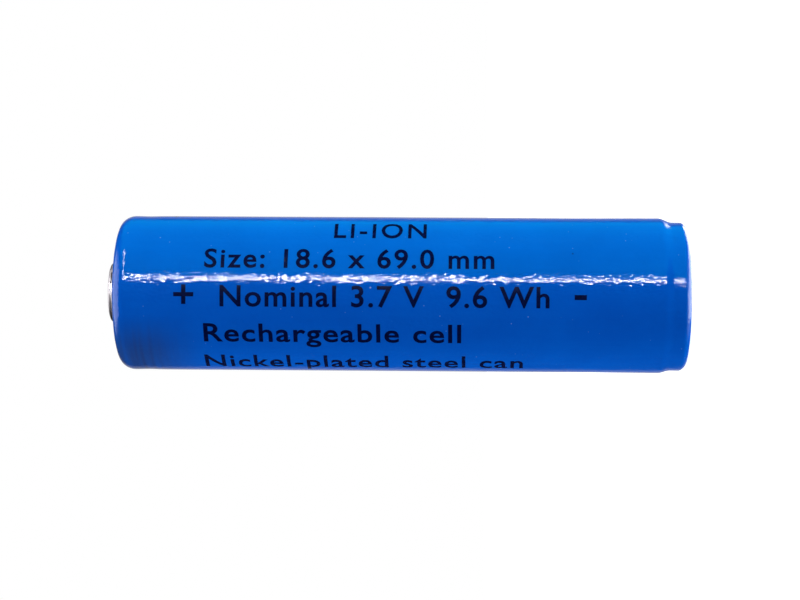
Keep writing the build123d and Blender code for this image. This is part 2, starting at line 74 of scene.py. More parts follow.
def add(tree, kind, inputs=(), stops=(), **settings):
    """Adds a node. An input is filled from a node, a socket or a plain value, and a colour
    ramp's two stops from places and colours."""
    made = tree.nodes.new(kind)
    for name, value in settings.items():
        setattr(made, name, value)
    for i, (position, value) in enumerate(stops):
        stop = made.color_ramp.elements[i]
        stop.position, stop.color = position, value
    for key, value in dict(inputs).items():
        if isinstance(value, bpy.types.Node):
            value = next(socket for socket in value.outputs if socket.enabled)
        if isinstance(value, bpy.types.NodeSocket):
            tree.links.new(value, made.inputs[key])
        else:
            made.inputs[key].default_value = value
    return made


def colour(hex_code):
    """An sRGB hex code as linear RGBA."""
    parts = [int(hex_code[i:i + 2], 16) / 255 for i in (1, 3, 5)]
    return (*[c / 12.92 if c <= 0.04045 else ((c + 0.055) / 1.055) ** 2.4 for c in parts], 1)


print("sleeve blue, linear:", [round(c, 3) for c in colour("#0069D2")])

# %% [markdown]
# ## Materials
#
# Every material starts from the same three nodes: the place on the object in millimetres, a
# Principled shader and the output. Working in millimetres keeps each pattern's scale honest: a
# noise of scale 1 then has features about 1 mm across. The place comes from Object coordinates,
# which every piece has without a UV map, and all pieces share one origin.

# %% A new material that works in millimetres


def start_material(name, **shader_inputs):
    """A material's tree, its shader and the place on the object in millimetres."""
    made = bpy.data.materials.new(name)
    made.use_nodes = True
    tree = made.node_tree
    tree.nodes.clear()
    shader = add(tree, "ShaderNodeBsdfPrincipled",
                 {key.replace("_", " "): value for key, value in shader_inputs.items()})
    add(tree, "ShaderNodeOutputMaterial", {"Surface": shader})
    where = add(tree, "ShaderNodeTexCoord").outputs["Object"]
    place = add(tree, "ShaderNodeMapping", {"Vector": where, "Scale": (1 / MM,) * 3})
    print("material", name)
    return made, tree, shader, place


# %% [markdown]
# ### Heat-shrunk PVC film
#
# PVC shrink tube is extruded, coloured right through, and pulled tight with hot air. It is a
# glossy, hard-looking plastic, and close up its gloss is broken by a fine orange peel, because
# the film shrank against a bare steel can. The blue is so strong that almost no red comes back.
# There is a little dust on it and faint lines along it from the extruder's die. Near the
# button, on the film's -X side, a patch is greyer and darker, with fine streaks round the film.
# A nick, a grain of grit and a pinhole are single marks. The orange peel is a bump with features
# under half a millimetre. The larger waves are in the mesh.

# %% Film: the blue, its die lines and dust
film_material, tree, shader, place = start_material(
    "heat_shrunk_blue_pvc_film", Roughness=0.1, IOR=1.53)
cloud = add(tree, "ShaderNodeTexNoise", {"Vector": place, "Scale": 0.12, "Detail": 3})
blue = add(tree, "ShaderNodeValToRGB", {"Fac": cloud},
           stops=((0.3, colour("#0067D6")), (0.7, colour("#006FE0"))))
along = add(tree, "ShaderNodeMapping", {"Vector": place, "Scale": (1.2, 1.2, 0.05)})
die_lines = add(tree, "ShaderNodeTexNoise", {"Vector": along, "Scale": 1.0, "Detail": 3})
line_share = add(tree, "ShaderNodeMapRange", {"Value": die_lines, 1: 0.45, 2: 0.75, 3: 0.0, 4: 0.1})
lined = add(tree, "ShaderNodeMix", {"Factor": line_share, 6: blue, 7: colour("#0C80EA")},
            data_type="RGBA")
cells = add(tree, "ShaderNodeTexVoronoi", {"Vector": place, "Scale": 0.8})
speck = add(tree, "ShaderNodeMapRange",
            {"Value": cells.outputs["Distance"], 1: 0.03, 2: 0.09, 3: 1.0, 4: 0.0})
aside = add(tree, "ShaderNodeMapping", {"Vector": place, "Location": (7, 3, 0)})
drift = add(tree, "ShaderNodeTexNoise", {"Vector": aside, "Scale": 0.25, "Detail": 2})
dusty = add(tree, "ShaderNodeMapRange", {"Value": drift, 1: 0.46, 2: 0.66, 3: 0.0, 4: 0.5})
dust = add(tree, "ShaderNodeMath", {0: speck, 1: dusty}, operation="MULTIPLY")
dusted = add(tree, "ShaderNodeMix", {"Factor": dust, 6: lined, 7: colour("#9DB9E6")},
             data_type="RGBA")
print("film colour:", len(tree.nodes), "nodes")

# %% Film: the greyer streaked patch and the single marks
split = add(tree, "ShaderNodeSeparateXYZ", {0: place}).outputs
# A greyer, darker patch with fine streaks round the film, on its -X side near the button end.
near_button = add(tree, "ShaderNodeMapRange", {"Value": split["Z"], 1: 56.0, 2: 65.0},
                  interpolation_type="SMOOTHSTEP")
minus_x_side = add(tree, "ShaderNodeMapRange", {"Value": split["X"], 1: -2.0, 2: -7.5},
                interpolation_type="SMOOTHSTEP")
ringwise = add(tree, "ShaderNodeMapping", {"Vector": place, "Scale": (0.06, 0.06, 1.4)})
ring_streaks = add(tree, "ShaderNodeTexNoise", {"Vector": ringwise, "Scale": 1.0, "Detail": 3})
streak_share = add(tree, "ShaderNodeMapRange", {"Value": ring_streaks, 1: 0.3, 2: 0.7, 3: 0.6, 4: 0.95})
patch_place = add(tree, "ShaderNodeMath", {0: near_button, 1: minus_x_side}, operation="MULTIPLY")
streaked = add(tree, "ShaderNodeMath", {0: patch_place, 1: streak_share}, operation="MULTIPLY")
patched = add(tree, "ShaderNodeMix", {"Factor": streaked, 6: dusted.outputs[2], 7: colour("#2B4A84")},
           data_type="RGBA")
marked = patched.outputs[2]
film_marks = {
    # what it is: (place on the film in millimetres, inner and outer radius, colour)
    "nick by the shoulder": ((9.16, -1.6, 61.0), 0.12, 0.36, "#16243F"),
    "grit under the film": ((4.83, -7.95, 13.9), 0.05, 0.16, "#1B3A7A"),
    "rubbed pinhole": ((0.72, -9.27, 37.35), 0.04, 0.14, "#D5DDF0"),
}
for spot, inner, outer, tone in film_marks.values():
    off = add(tree, "ShaderNodeVectorMath", {0: place, 1: spot}, operation="DISTANCE")
    inside_mark = add(tree, "ShaderNodeMapRange",
                      {"Value": off.outputs["Value"], 1: inner, 2: outer, 3: 1.0, 4: 0.0})
    marked = add(tree, "ShaderNodeMix", {"Factor": inside_mark, 6: marked, 7: colour(tone)},
                 data_type="RGBA").outputs[2]
tree.links.new(marked, shader.inputs["Base Color"])
print("film marks:", ", ".join(film_marks))

# %% Film: gloss and orange peel
haze = add(tree, "ShaderNodeTexNoise", {"Vector": place, "Scale": 0.5, "Detail": 3})
gloss = add(tree, "ShaderNodeMapRange", {"Value": haze, 1: 0.35, 2: 0.7, 3: 0.02, 4: 0.045})
tree.links.new(gloss.outputs[0], shader.inputs["Roughness"])
shrunk = add(tree, "ShaderNodeMapping", {"Vector": place, "Scale": (1, 1, 0.7)})
peel = add(tree, "ShaderNodeTexNoise", {"Vector": shrunk, "Scale": 2.9, "Detail": 0})
peel_bump = add(tree, "ShaderNodeBump", {"Height": peel, "Distance": 0.027 * MM})
pits = add(tree, "ShaderNodeTexNoise", {"Vector": place, "Scale": 9.0, "Detail": 2})
pit_bump = add(tree, "ShaderNodeBump",
               {"Height": pits, "Distance": 0.004 * MM, "Normal": peel_bump})
tree.links.new(pit_bump.outputs[0], shader.inputs["Normal"])
print("film material:", len(tree.nodes), "nodes")

# %% [markdown]
# ### Printing ink
#
# The marks are pad printed in a dark ink. The ink lies on the film as a layer a few hundredths
# of a millimetre thick, duller than the film, and a little starved in places, where it is
# bluer.

# %% Ink material
ink_material, tree, shader, place = start_material(
    "dark_pad_printing_ink", Roughness=0.2, IOR=1.36)
starved = add(tree, "ShaderNodeTexNoise", {"Vector": place, "Scale": 3.5, "Detail": 3})
ink_tone = add(tree, "ShaderNodeValToRGB", {"Fac": starved},
               stops=((0.25, colour("#01072B")), (0.8, colour("#031850"))))
tree.links.new(ink_tone.outputs[0], shader.inputs["Base Color"])
ink_gloss = add(tree, "ShaderNodeMapRange", {"Value": starved, 3: 0.14, 4: 0.24})
tree.links.new(ink_gloss.outputs[0], shader.inputs["Roughness"])
peel = add(tree, "ShaderNodeTexNoise", {"Vector": place, "Scale": 2.4, "Detail": 3})
ink_bump = add(tree, "ShaderNodeBump", {"Height": peel, "Distance": 0.005 * MM})
tree.links.new(ink_bump.outputs[0], shader.inputs["Normal"])

# %% [markdown]
# ### Nickel-plated steel, rolled nickel and pressed aluminium
#
# The can, the button and the board's contact are drawn or stamped from steel strip that was
# nickel plated. The rolls leave very fine lines, the bath leaves slightly duller clouds, and a
# button that has been in a holder gets hairline scratches. The connecting strip is soft pure
# nickel, a little warmer and duller. Metals keep the shader's default IOR. Real roll lines are
# a few hundredths of a millimetre apart, so these are drawn about a tenth apart to show at all.

# %% Metal materials
metals = {}
metal_looks = {
    # name: (dark, light, smoothest, roughest, how the lines are drawn out)
    "satin_nickel_plated_steel": ("#B5AEB3", "#DED8DC", 0.3, 0.5, (0.04, 1, 1)),
    "rolled_nickel_strip": ("#A39D95", "#CBC6BE", 0.26, 0.48, (1, 1, 0.04)),
    "pressed_header_aluminium": ("#B4B6B8", "#DADCDD", 0.22, 0.4, (0.3, 0.3, 1)),
}
for name, (dark, light, smooth, rough, stretch) in metal_looks.items():
    metals[name], tree, shader, place = start_material(name, Metallic=1.0)
    rolled = add(tree, "ShaderNodeMapping", {"Vector": place, "Scale": stretch})
    roll_lines = add(tree, "ShaderNodeTexNoise", {"Vector": rolled, "Scale": 9.0, "Detail": 3})
    stains = add(tree, "ShaderNodeTexNoise", {"Vector": place, "Scale": 0.5, "Detail": 3})
    tone = add(tree, "ShaderNodeMix", {"Factor": 0.6, 2: roll_lines, 3: stains})
    shade = add(tree, "ShaderNodeValToRGB", {"Fac": tone},
                stops=((0.3, colour(dark)), (0.7, colour(light))))
    tree.links.new(shade.outputs[0], shader.inputs["Base Color"])
    dulled = add(tree, "ShaderNodeMapRange", {"Value": tone, 1: 0.3, 2: 0.75, 3: smooth, 4: rough})
    tree.links.new(dulled.outputs[0], shader.inputs["Roughness"])
    streaked = add(tree, "ShaderNodeTexWave", {"Vector": place, "Scale": 0.9, "Distortion": 14.0,
                 "Detail": 3.0, "Detail Scale": 0.7})
    hairline = add(tree, "ShaderNodeMapRange",
                   {"Value": streaked.outputs["Fac"], 1: 0.975, 2: 1.0, 3: 0.0, 4: 1.0})
    lines_bump = add(tree, "ShaderNodeBump", {"Height": roll_lines, "Distance": 0.002 * MM})
    hair_bump = add(tree, "ShaderNodeBump",
                    {"Height": hairline, "Distance": 0.004 * MM, "Normal": lines_bump})
    tree.links.new(hair_bump.outputs[0], shader.inputs["Normal"])

# %% [markdown]
# ### Paper, board, moulded and coated pieces
#
# The rest are plain materials with one pattern each: the fibres of barley paper, the weave that
# shows through green solder mask, the grain of moulded epoxy, and the matt slurry coats on the
# electrodes. They share a loop, because only the colours, the gloss, the pattern's size and how
# it is drawn out differ.

# %% Plain materials
plain = {}
plain_looks = {
    # name: (dark, light, features per mm, stretch, smoothest, roughest, depth mm, IOR, metal)
    "barley_paper_fibre": ("#8E9C9A", "#B9C3BE", 3, (1, 0.25, 1), 0.75, 0.95, 0.02, 1.5, 0),
    "green_solder_mask_on_fr4": ("#0B3D22", "#125B33", 2.2, (1, 0.2, 1), 0.25, 0.45, 0.01, 1.5, 0),
    "black_moulded_epoxy": ("#17171A", "#26262A", 12, (1, 1, 1), 0.5, 0.7, 0.006, 1.5, 0),
    "fired_chip_ceramic": ("#B79C78", "#CDB593", 10, (1, 1, 1), 0.4, 0.6, 0.005, 1.6, 0),
    "tin_solder_fillet": ("#A7A9AD", "#D4D6D8", 2, (1, 1, 1), 0.15, 0.4, 0.01, 1.5, 1),
    "white_moulded_spacer": ("#D9D6CC", "#ECE9E0", 5, (1, 1, 1), 0.4, 0.6, 0.006, 1.46, 0),
    "amber_polyimide_tape": ("#A8620F", "#C98322", 1.2, (1, 1, 0.2), 0.15, 0.35, 0.004, 1.65, 0),
    "natural_polypropylene_disc": ("#CFD4D2", "#E6EAE8", 3, (1, 1, 1), 0.3, 0.5, 0.005, 1.49, 0),
    "black_gasket_polypropylene": ("#1B1C1E", "#2C2E31", 5, (1, 1, 1), 0.35, 0.6, 0.006, 1.49, 0),
    "carbon_filled_ptc_polymer": ("#1A1A1A", "#343434", 8, (1, 1, 1), 0.6, 0.85, 0.01, 1.5, 0),
    "microporous_separator": ("#E4E6E6", "#F5F6F6", 6, (1, 1, 0.1), 0.45, 0.6, 0.003, 1.5, 0),
    "lithium_oxide_cathode_coat": ("#1E1F21", "#36383B", 7, (1, 1, 1), 0.75, 0.95, 0.01, 1.6, 0),
    "graphite_anode_coat": ("#2A2A2C", "#47474A", 7, (1, 1, 1), 0.6, 0.85, 0.01, 1.7, 0),
}
for name, (dark, light, per_mm, stretch, smooth, rough, depth, ior, metal) in plain_looks.items():
    plain[name], tree, shader, place = start_material(name, IOR=ior, Metallic=metal)
    drawn = add(tree, "ShaderNodeMapping", {"Vector": place, "Scale": stretch})
    grain = add(tree, "ShaderNodeTexNoise", {"Vector": drawn, "Scale": per_mm, "Detail": 4})
    shade = add(tree, "ShaderNodeValToRGB", {"Fac": grain},
                stops=((0.3, colour(dark)), (0.7, colour(light))))
    tree.links.new(shade.outputs[0], shader.inputs["Base Color"])
    dulled = add(tree, "ShaderNodeMapRange", {"Value": grain, 1: 0.3, 2: 0.7, 3: smooth, 4: rough})
    tree.links.new(dulled.outputs[0], shader.inputs["Roughness"])
    raised = add(tree, "ShaderNodeBump", {"Height": grain, "Distance": depth * MM})
    tree.links.new(raised.outputs[0], shader.inputs["Normal"])
print("plain materials:", len(plain))

# %% Give every measured piece its finish
slot_material = {
    "sleeve_film": film_material,
    "nickel_plated_steel": metals["satin_nickel_plated_steel"],
    "nickel_strip": metals["rolled_nickel_strip"],
    "header_aluminium": metals["pressed_header_aluminium"],
    "barley_paper": plain["barley_paper_fibre"],
    "board_laminate": plain["green_solder_mask_on_fr4"],
    "moulded_package": plain["black_moulded_epoxy"],
    "chip_ceramic": plain["fired_chip_ceramic"],
    "solder": plain["tin_solder_fillet"],
    "spacer_plastic": plain["white_moulded_spacer"],
    "insulating_tape": plain["amber_polyimide_tape"],
    "insulator_plastic": plain["natural_polypropylene_disc"],
    "gasket_polymer": plain["black_gasket_polypropylene"],
    "ptc_polymer": plain["carbon_filled_ptc_polymer"],
    "separator_film": plain["microporous_separator"],
    "cathode_coating": plain["lithium_oxide_cathode_coat"],
    "anode_coating": plain["graphite_anode_coat"],
}
for part in frame["record"]["subparts"]:
    node = frame["nodes"][part["node"]]
    node.data.materials.clear()
    node.data.materials.append(slot_material[part["material_slot"]])

# %% [markdown]
# ## The relief of shrunk film
#
# Shrunk film is never a perfect tube. It rises over the nickel strip that runs down one side, it
# sinks a little over the bead rolled into the can, and it has slow waves where it cooled
# unevenly, faint lines along its length and a coarse orange peel. All of that is a height over
# the plain tube, worked out from the place on it, so it is one node group. The film uses it, and
# so does the ink, which then lies on the film wherever the film goes. It is a rule on a place,
# so Geometry Nodes suit it better than sculpting.

# %% Relief node group
sleeve_low, sleeve_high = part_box("outer_sleeve")
film_radius = sleeve_high.x / MM
ridge_rise = sleeve_high.y / MM - film_radius
bead_under_gasket = 1.08     # from the gasket's lower end down to the middle of the bead
bead_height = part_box("gasket")[0].z / MM - bead_under_gasket
ridge_foot = 0.35            # how far the film bridges beside the strip
ridge_end = (0.6, 1.8)       # heights between which the ridge fades out at the board end
bead_bell = -0.9             # how narrow the dip over the bead is, for each square millimetre
drawn_tight = (6.0, 14.0)    # heights between which the film draws in above the board end
noise_ceiling = 0.75         # close to the most that a noise gives

relief = bpy.data.node_groups.new("film_relief", "GeometryNodeTree")
relief.interface.new_socket("Place", in_out="INPUT", socket_type="NodeSocketVector")
for name in ("Ridge rise", "Ridge half width", "Bead height", "Bead dip", "Swell", "Wave", "Line",
             "Peel"):
    relief.interface.new_socket(name, in_out="INPUT", socket_type="NodeSocketFloat")
relief.interface.new_socket("Rise", in_out="OUTPUT", socket_type="NodeSocketFloat")
given = add(relief, "NodeGroupInput").outputs
split = add(relief, "ShaderNodeSeparateXYZ", {0: given["Place"]}).outputs

# the ridge over the strip: how far round from +Y, in millimetres along the film
turned = add(relief, "ShaderNodeMath", {0: split["X"], 1: split["Y"]}, operation="ARCTAN2")
aside = add(relief, "ShaderNodeMath", {0: turned}, operation="ABSOLUTE")
across = add(relief, "ShaderNodeMath", {0: aside, 1: film_radius}, operation="MULTIPLY")
foot = add(relief, "ShaderNodeMath", {0: given["Ridge half width"], 1: ridge_foot},
           operation="ADD")
full_ridge = add(relief, "ShaderNodeMapRange",
                 {"Value": across, 1: foot, 2: given["Ridge half width"], 3: 0.0,
                  4: given["Ridge rise"]}, interpolation_type="SMOOTHSTEP")
strip_share = add(relief, "ShaderNodeMapRange",
                  {"Value": split["Z"], 1: ridge_end[0], 2: ridge_end[1]},
                  interpolation_type="SMOOTHSTEP")
ridge = add(relief, "ShaderNodeMath", {0: full_ridge, 1: strip_share}, operation="MULTIPLY")

# the dip over the can's rolled bead: a bell curve along the axis
from_bead = add(relief, "ShaderNodeMath", {0: split["Z"], 1: given["Bead height"]},
                operation="SUBTRACT")
squared = add(relief, "ShaderNodeMath", {0: from_bead, 1: 2.0}, operation="POWER")
fall = add(relief, "ShaderNodeMath", {0: squared, 1: bead_bell}, operation="MULTIPLY")
bell = add(relief, "ShaderNodeMath", {0: fall}, operation="EXPONENT")
dip = add(relief, "ShaderNodeMath", {0: bell, 1: given["Bead dip"]}, operation="MULTIPLY")
sunk = add(relief, "ShaderNodeMath", {0: ridge, 1: dip}, operation="SUBTRACT")

# the swell round the can's bottom, where the film stands a little prouder than above it
from_bottom = add(relief, "ShaderNodeMapRange",
                  {"Value": split["Z"], 1: drawn_tight[0], 2: drawn_tight[1]},
                  interpolation_type="SMOOTHSTEP")
settled = add(relief, "ShaderNodeMath", {0: from_bottom, 1: given["Swell"]},
              operation="MULTIPLY")
rise = add(relief, "ShaderNodeMath", {0: sunk, 1: settled}, operation="SUBTRACT")

# waves, lines along the film and orange peel: three noises, all of them mostly below zero
for name, per_mm, stretch in (("Wave", 0.14, (1, 1, 0.5)), ("Line", 0.6, (1, 1, 0.06)),
                              ("Peel", 0.95, (1, 1, 0.8))):
    drawn = add(relief, "ShaderNodeVectorMath", {0: given["Place"], 1: stretch},
                operation="MULTIPLY")
    ripple = add(relief, "ShaderNodeTexNoise", {"Vector": drawn, "Scale": per_mm, "Detail": 1})
    lowered = add(relief, "ShaderNodeMath", {0: ripple, 1: noise_ceiling},
                  operation="SUBTRACT")
    part = add(relief, "ShaderNodeMath", {0: lowered, 1: given[name]}, operation="MULTIPLY")
    rise = add(relief, "ShaderNodeMath", {0: rise, 1: part}, operation="ADD")
add(relief, "NodeGroupOutput", {"Rise": rise})

relief_sizes = {"Ridge rise": ridge_rise, "Ridge half width": 1.75, "Bead height": bead_height,
                "Bead dip": 0.035, "Swell": 0.03, "Wave": 0.05, "Line": 0.018, "Peel": 0.012}
print("film radius", round(film_radius, 3), "ridge", round(ridge_rise, 3),
      "bead", round(bead_height, 2), "relief tree:", len(relief.nodes), "nodes")

# %% [markdown]
# ## Sleeve: the section
#
# The sleeve's shape follows a rule: one closed section turned round the axis. The section is
# the film's real 0.15 mm wall, with the lip folded in over the washer, the shoulder, the long
# side, the step down to the circuit board, and the lip round the contact. Each point also says
# which way is out, how much of the relief it takes, how much the lips' pleats move it, and how
# much it leans with the board end.

# %% Section of the film, in millimetres
film_wall = 0.15
shoulder = 1.4               # outside radius at the button end
shoulder_tall = 1.29         # how much longer the shoulder is along the axis
board_corner = 1.15          # outside radius at the board end
board_fold = 20              # degrees by which the film's side turns sharply into that corner
board_radius = 8.9           # outside the film, over the board
top_lip_edge = 7.2           # radius of the lip's edge round the washer
bottom_lip_edge = 7.4        # radius of the lip's edge round the contact plate
step_low, step_high = 1.85, 3.35    # heights between which the film eases down to the board
side_pitch = 0.26            # between points along the outside
inner_pitch = 0.45           # between points along the inside, as far up as the step reaches
step_top = 4.6               # the inside is straight above this height
inner_heights = (8, 20, 32, 44, 56)
outer_flat_pitches = (0.12, 0.2)    # between points along the lips' outside, top and bottom
inner_flat_pitches = (0.2, 0.3)     # and along their inside
too_near = 0.01              # a point this near to the one before it is left out
low, high = sleeve_low.z / MM, sleeve_high.z / MM


def arc(centre, radius, start, end, count, tall=1):
    """Points on an arc in the section's plane, angles in degrees from the radial direction."""
    turns = [math.radians(start + (end - start) * i / count) for i in range(count + 1)]
    return [(centre[0] + radius * math.cos(a), centre[1] + radius * tall * math.sin(a))
            for a in turns]


def line(start, end, pitch):
    """Points between two ends, both left out."""
    count = max(2, round(math.dist(start, end) / pitch))
    return [tuple(s + (e - s) * i / count for s, e in zip(start, end)) for i in range(1, count)]


def step_radius(z, upper, lower):
    """The film's radius where it eases from the can down to the board."""
    t = min(1, max(0, (z - step_low) / (step_high - step_low)))
    return lower + (upper - lower) * t * t * (3 - 2 * t)


def film_side(upper, lower, top, bottom, pitch):
    """The long side from the shoulder to the board corner, with the step in it."""
    count = round((top - bottom) / pitch)
    heights = [top + (bottom - top) * i / count for i in range(1, count)]
    return [(step_radius(z, upper, lower), z) for z in heights]


shoulder_centre = (film_radius - shoulder, high - shoulder * shoulder_tall)
corner_centre = (board_radius - board_corner * math.cos(math.radians(board_fold)),
                 low + board_corner)
fold_z = corner_centre[1] - board_corner * math.sin(math.radians(board_fold))
half = film_wall / 2
outside = (arc((top_lip_edge + half, high - half), half, 180, 90, 4)
           + line((top_lip_edge + half, high), (shoulder_centre[0], high), outer_flat_pitches[0])
           + arc(shoulder_centre, shoulder, 90, 0, 16, shoulder_tall)
           + film_side(film_radius, board_radius, shoulder_centre[1], fold_z, side_pitch)
           + arc(corner_centre, board_corner, -board_fold, -90, 10)
           + line((corner_centre[0], low), (bottom_lip_edge + half, low),
                  outer_flat_pitches[1])
           + arc((bottom_lip_edge + half, low + half), half, 270, 180, 4))
inside = (arc((bottom_lip_edge + half, low + half), half, 180, 90, 3)[1:]
          + line((bottom_lip_edge + half, low + film_wall),
                 (corner_centre[0], low + film_wall), inner_flat_pitches[1])
          + arc(corner_centre, board_corner - film_wall, -90, -board_fold, 5)
          + film_side(film_radius - film_wall, board_radius - film_wall,
                      fold_z + film_wall, step_top, inner_pitch)
          + [(film_radius - film_wall, z) for z in inner_heights]
          + arc(shoulder_centre, shoulder - film_wall, 0, 90, 6, shoulder_tall)
          + line((shoulder_centre[0], high - film_wall),
                 (top_lip_edge + half, high - film_wall), inner_flat_pitches[0])
          + arc((top_lip_edge + half, high - half), half, 270, 180, 3)[:-1])
outside = [p for i, p in enumerate(outside)
           if i == 0 or math.dist(p, outside[i - 1]) > too_near]
inside = [p for i, p in enumerate(inside)
          if math.dist(p, (outside + inside)[i - 1]) > too_near]
section = outside + inside
print("section points:", len(outside), "outside,", len(inside), "inside")

# %% Put something in the scene


def in_scene(name, data):
    """An object that shows a mesh, a text, a lamp or a camera, at the origin and unturned."""
    made = bpy.data.objects.new(name, data)
    bpy.context.scene.collection.objects.link(made)
    return made


print("helper: in_scene")

# %% The section as a mesh with its attributes
relief_fade = 0.4            # from a lip's edge to where the relief has its full height
pleat_reach_top = 1.1        # from a lip's edge to where its pleats end
pleat_reach_bottom = 0.8
section_mesh = bpy.data.meshes.new("film_section")
rows = len(section)
section_mesh.from_pydata([(r * MM, 0, z * MM) for r, z in section],
                         [(i, (i + 1) % rows) for i in range(rows)], [])
for name, kind in (("outward", "FLOAT_VECTOR"), ("share", "FLOAT"), ("pleat", "FLOAT"),
                   ("lean", "FLOAT")):
    section_mesh.attributes.new(name, kind, "POINT")
outward, share, pleat, lean = (section_mesh.attributes[name].data
                               for name in ("outward", "share", "pleat", "lean"))
for i, (r, z) in enumerate(section):
    before, after = section[i - 1], section[(i + 1) % rows]
    run = Vector((after[0] - before[0], after[1] - before[1])).normalized()
    outward[i].vector = (-run.y, 0, run.x)
    upper_half = z > high / 2
    to_lip = max(r - (top_lip_edge if upper_half else bottom_lip_edge), 0)
    if not upper_half and z >= 1:
        to_lip = film_radius    # on the long side, away from both lips
    share[i].value = min(1, to_lip / relief_fade) if i < len(outside) else 0
    pleat[i].value = max(0, 1 - to_lip / (pleat_reach_top if upper_half else pleat_reach_bottom))
    lean[i].value = 1 - min(1, max(0, (z - step_low) / (step_high - step_low)))
film_object = in_scene("shrink_sleeve", section_mesh)
print("section mesh:", rows, "points, attributes",
      [each.name for each in section_mesh.attributes if not each.is_internal])

# %% [markdown]
# ## Sleeve: the turning
#
# The tree below turns the section. A grid has one row for each point of the section and one
# column for each step round. Each of its points looks up its section point by row, is swung
# round by its column, and is then moved: outwards by the relief, and near the lips by pleats,
# which form where a film is shrunk into a smaller ring than it was made for. The last row and
# column fall on the first, and merging them closes the surface. Spin or Screw would also turn a
# section, but they have no place for the relief.

# %% Turning tree: its inputs and the grid
turning = bpy.data.node_groups.new("film_turning", "GeometryNodeTree")
turning.interface.new_socket("Geometry", in_out="INPUT", socket_type="NodeSocketGeometry")
turning.interface.new_socket("Columns", in_out="INPUT", socket_type="NodeSocketInt")
for name in (*relief_sizes, "Pleat depth", "Lip wander", "Lean"):
    turning.interface.new_socket(name, in_out="INPUT", socket_type="NodeSocketFloat")
turning.interface.new_socket("Material", in_out="INPUT", socket_type="NodeSocketMaterial")
turning.interface.new_socket("Geometry", in_out="OUTPUT", socket_type="NodeSocketGeometry")
given = add(turning, "NodeGroupInput").outputs

# the grid, and each point's row and column
counted = add(turning, "GeometryNodeAttributeDomainSize", {0: given["Geometry"]})
row_count = counted.outputs["Point Count"]
grid_rows = add(turning, "ShaderNodeMath", {0: row_count, 1: 1.0}, operation="ADD")
grid_columns = add(turning, "ShaderNodeMath", {0: given["Columns"], 1: 1.0}, operation="ADD")
grid = add(turning, "GeometryNodeMeshGrid", {"Vertices X": grid_rows, "Vertices Y": grid_columns})
index = add(turning, "GeometryNodeInputIndex")
shared = add(turning, "ShaderNodeMath", {0: index, 1: grid_columns}, operation="DIVIDE")
row_number = add(turning, "ShaderNodeMath", {0: shared}, operation="FLOOR")
row = add(turning, "ShaderNodeMath", {0: row_number, 1: row_count}, operation="MODULO")
column = add(turning, "ShaderNodeMath", {0: index, 1: grid_columns}, operation="MODULO")
step = add(turning, "ShaderNodeMath", {0: math.tau, 1: given["Columns"]}, operation="DIVIDE")
angle = add(turning, "ShaderNodeMath", {0: column, 1: step}, operation="MULTIPLY")
print("turning tree's inputs:", len(given) - 1)

# %% Turning tree: the section at a row, swung round, and the relief there
looked_up = {}
for name, kind in (("position", "FLOAT_VECTOR"), ("outward", "FLOAT_VECTOR"),
                   ("share", "FLOAT"), ("pleat", "FLOAT"), ("lean", "FLOAT")):
    source = (add(turning, "GeometryNodeInputPosition") if name == "position" else
              add(turning, "GeometryNodeInputNamedAttribute", {"Name": name}, data_type=kind))
    looked_up[name] = add(turning, "GeometryNodeSampleIndex",
                          {0: given["Geometry"], "Value": source, "Index": row}, data_type=kind)

swung = {}
for name in ("position", "outward"):
    swung[name] = add(turning, "ShaderNodeVectorRotate",
                      {"Vector": looked_up[name], "Axis": (0, 0, 1), "Angle": angle})
place = add(turning, "ShaderNodeVectorMath", {0: swung["position"], "Scale": 1 / MM},
            operation="SCALE")
rise = add(turning, "GeometryNodeGroup", node_tree=relief)
turning.links.new(place.outputs[0], rise.inputs["Place"])
for name in relief_sizes:
    turning.links.new(given[name], rise.inputs[name])
outer_rise = add(turning, "ShaderNodeMath", {0: rise, 1: looked_up["share"]},
                 operation="MULTIPLY")
print("looked up at a row:", ", ".join(looked_up))

# %% Turning tree: pleats, a wandering lip and a slight lean
# The pleats are a noise round the axis only, so each pleat runs in to the lip's edge.
direction = add(turning, "ShaderNodeVectorMath", {0: place, 1: (1, 1, 0)}, operation="MULTIPLY")
unit = add(turning, "ShaderNodeVectorMath", {0: direction}, operation="NORMALIZE")
fold = add(turning, "ShaderNodeTexNoise", {"Vector": unit, "Scale": 9.0, "Detail": 2})
fold_height = add(turning, "ShaderNodeMapRange",
                  {"Value": fold, 1: 0.3, 2: 0.7, 3: -1.0, 4: 0.0})
fold_depth = add(turning, "ShaderNodeMath", {0: looked_up["pleat"], 1: given["Pleat depth"]},
                 operation="MULTIPLY")
folded = add(turning, "ShaderNodeMath", {0: fold_height, 1: fold_depth}, operation="MULTIPLY")
moved_out = add(turning, "ShaderNodeMath", {0: outer_rise, 1: folded}, operation="ADD")
in_metres = add(turning, "ShaderNodeMath", {0: moved_out, 1: MM}, operation="MULTIPLY")
outwards = add(turning, "ShaderNodeVectorMath", {0: swung["outward"], "Scale": in_metres},
               operation="SCALE")

# The lip's edge wanders in and out, and the board end leans a little to one side.
wander = add(turning, "ShaderNodeTexNoise", {"Vector": unit, "Scale": 2.2, "Detail": 2})
wandered = add(turning, "ShaderNodeMapRange",
               {"Value": wander, 1: 0.25, 2: 0.75, 3: -MM, 4: MM})
wander_share = add(turning, "ShaderNodeMath", {0: looked_up["pleat"], 1: given["Lip wander"]},
                   operation="MULTIPLY")
wander_by = add(turning, "ShaderNodeMath", {0: wandered, 1: wander_share}, operation="MULTIPLY")
sideways = add(turning, "ShaderNodeVectorMath", {0: unit, "Scale": wander_by}, operation="SCALE")
lean_by = add(turning, "ShaderNodeMath", {0: looked_up["lean"], 1: given["Lean"]},
              operation="MULTIPLY")
lean_metres = add(turning, "ShaderNodeMath", {0: lean_by, 1: -MM}, operation="MULTIPLY")
leaning = add(turning, "ShaderNodeCombineXYZ", {"X": lean_metres})
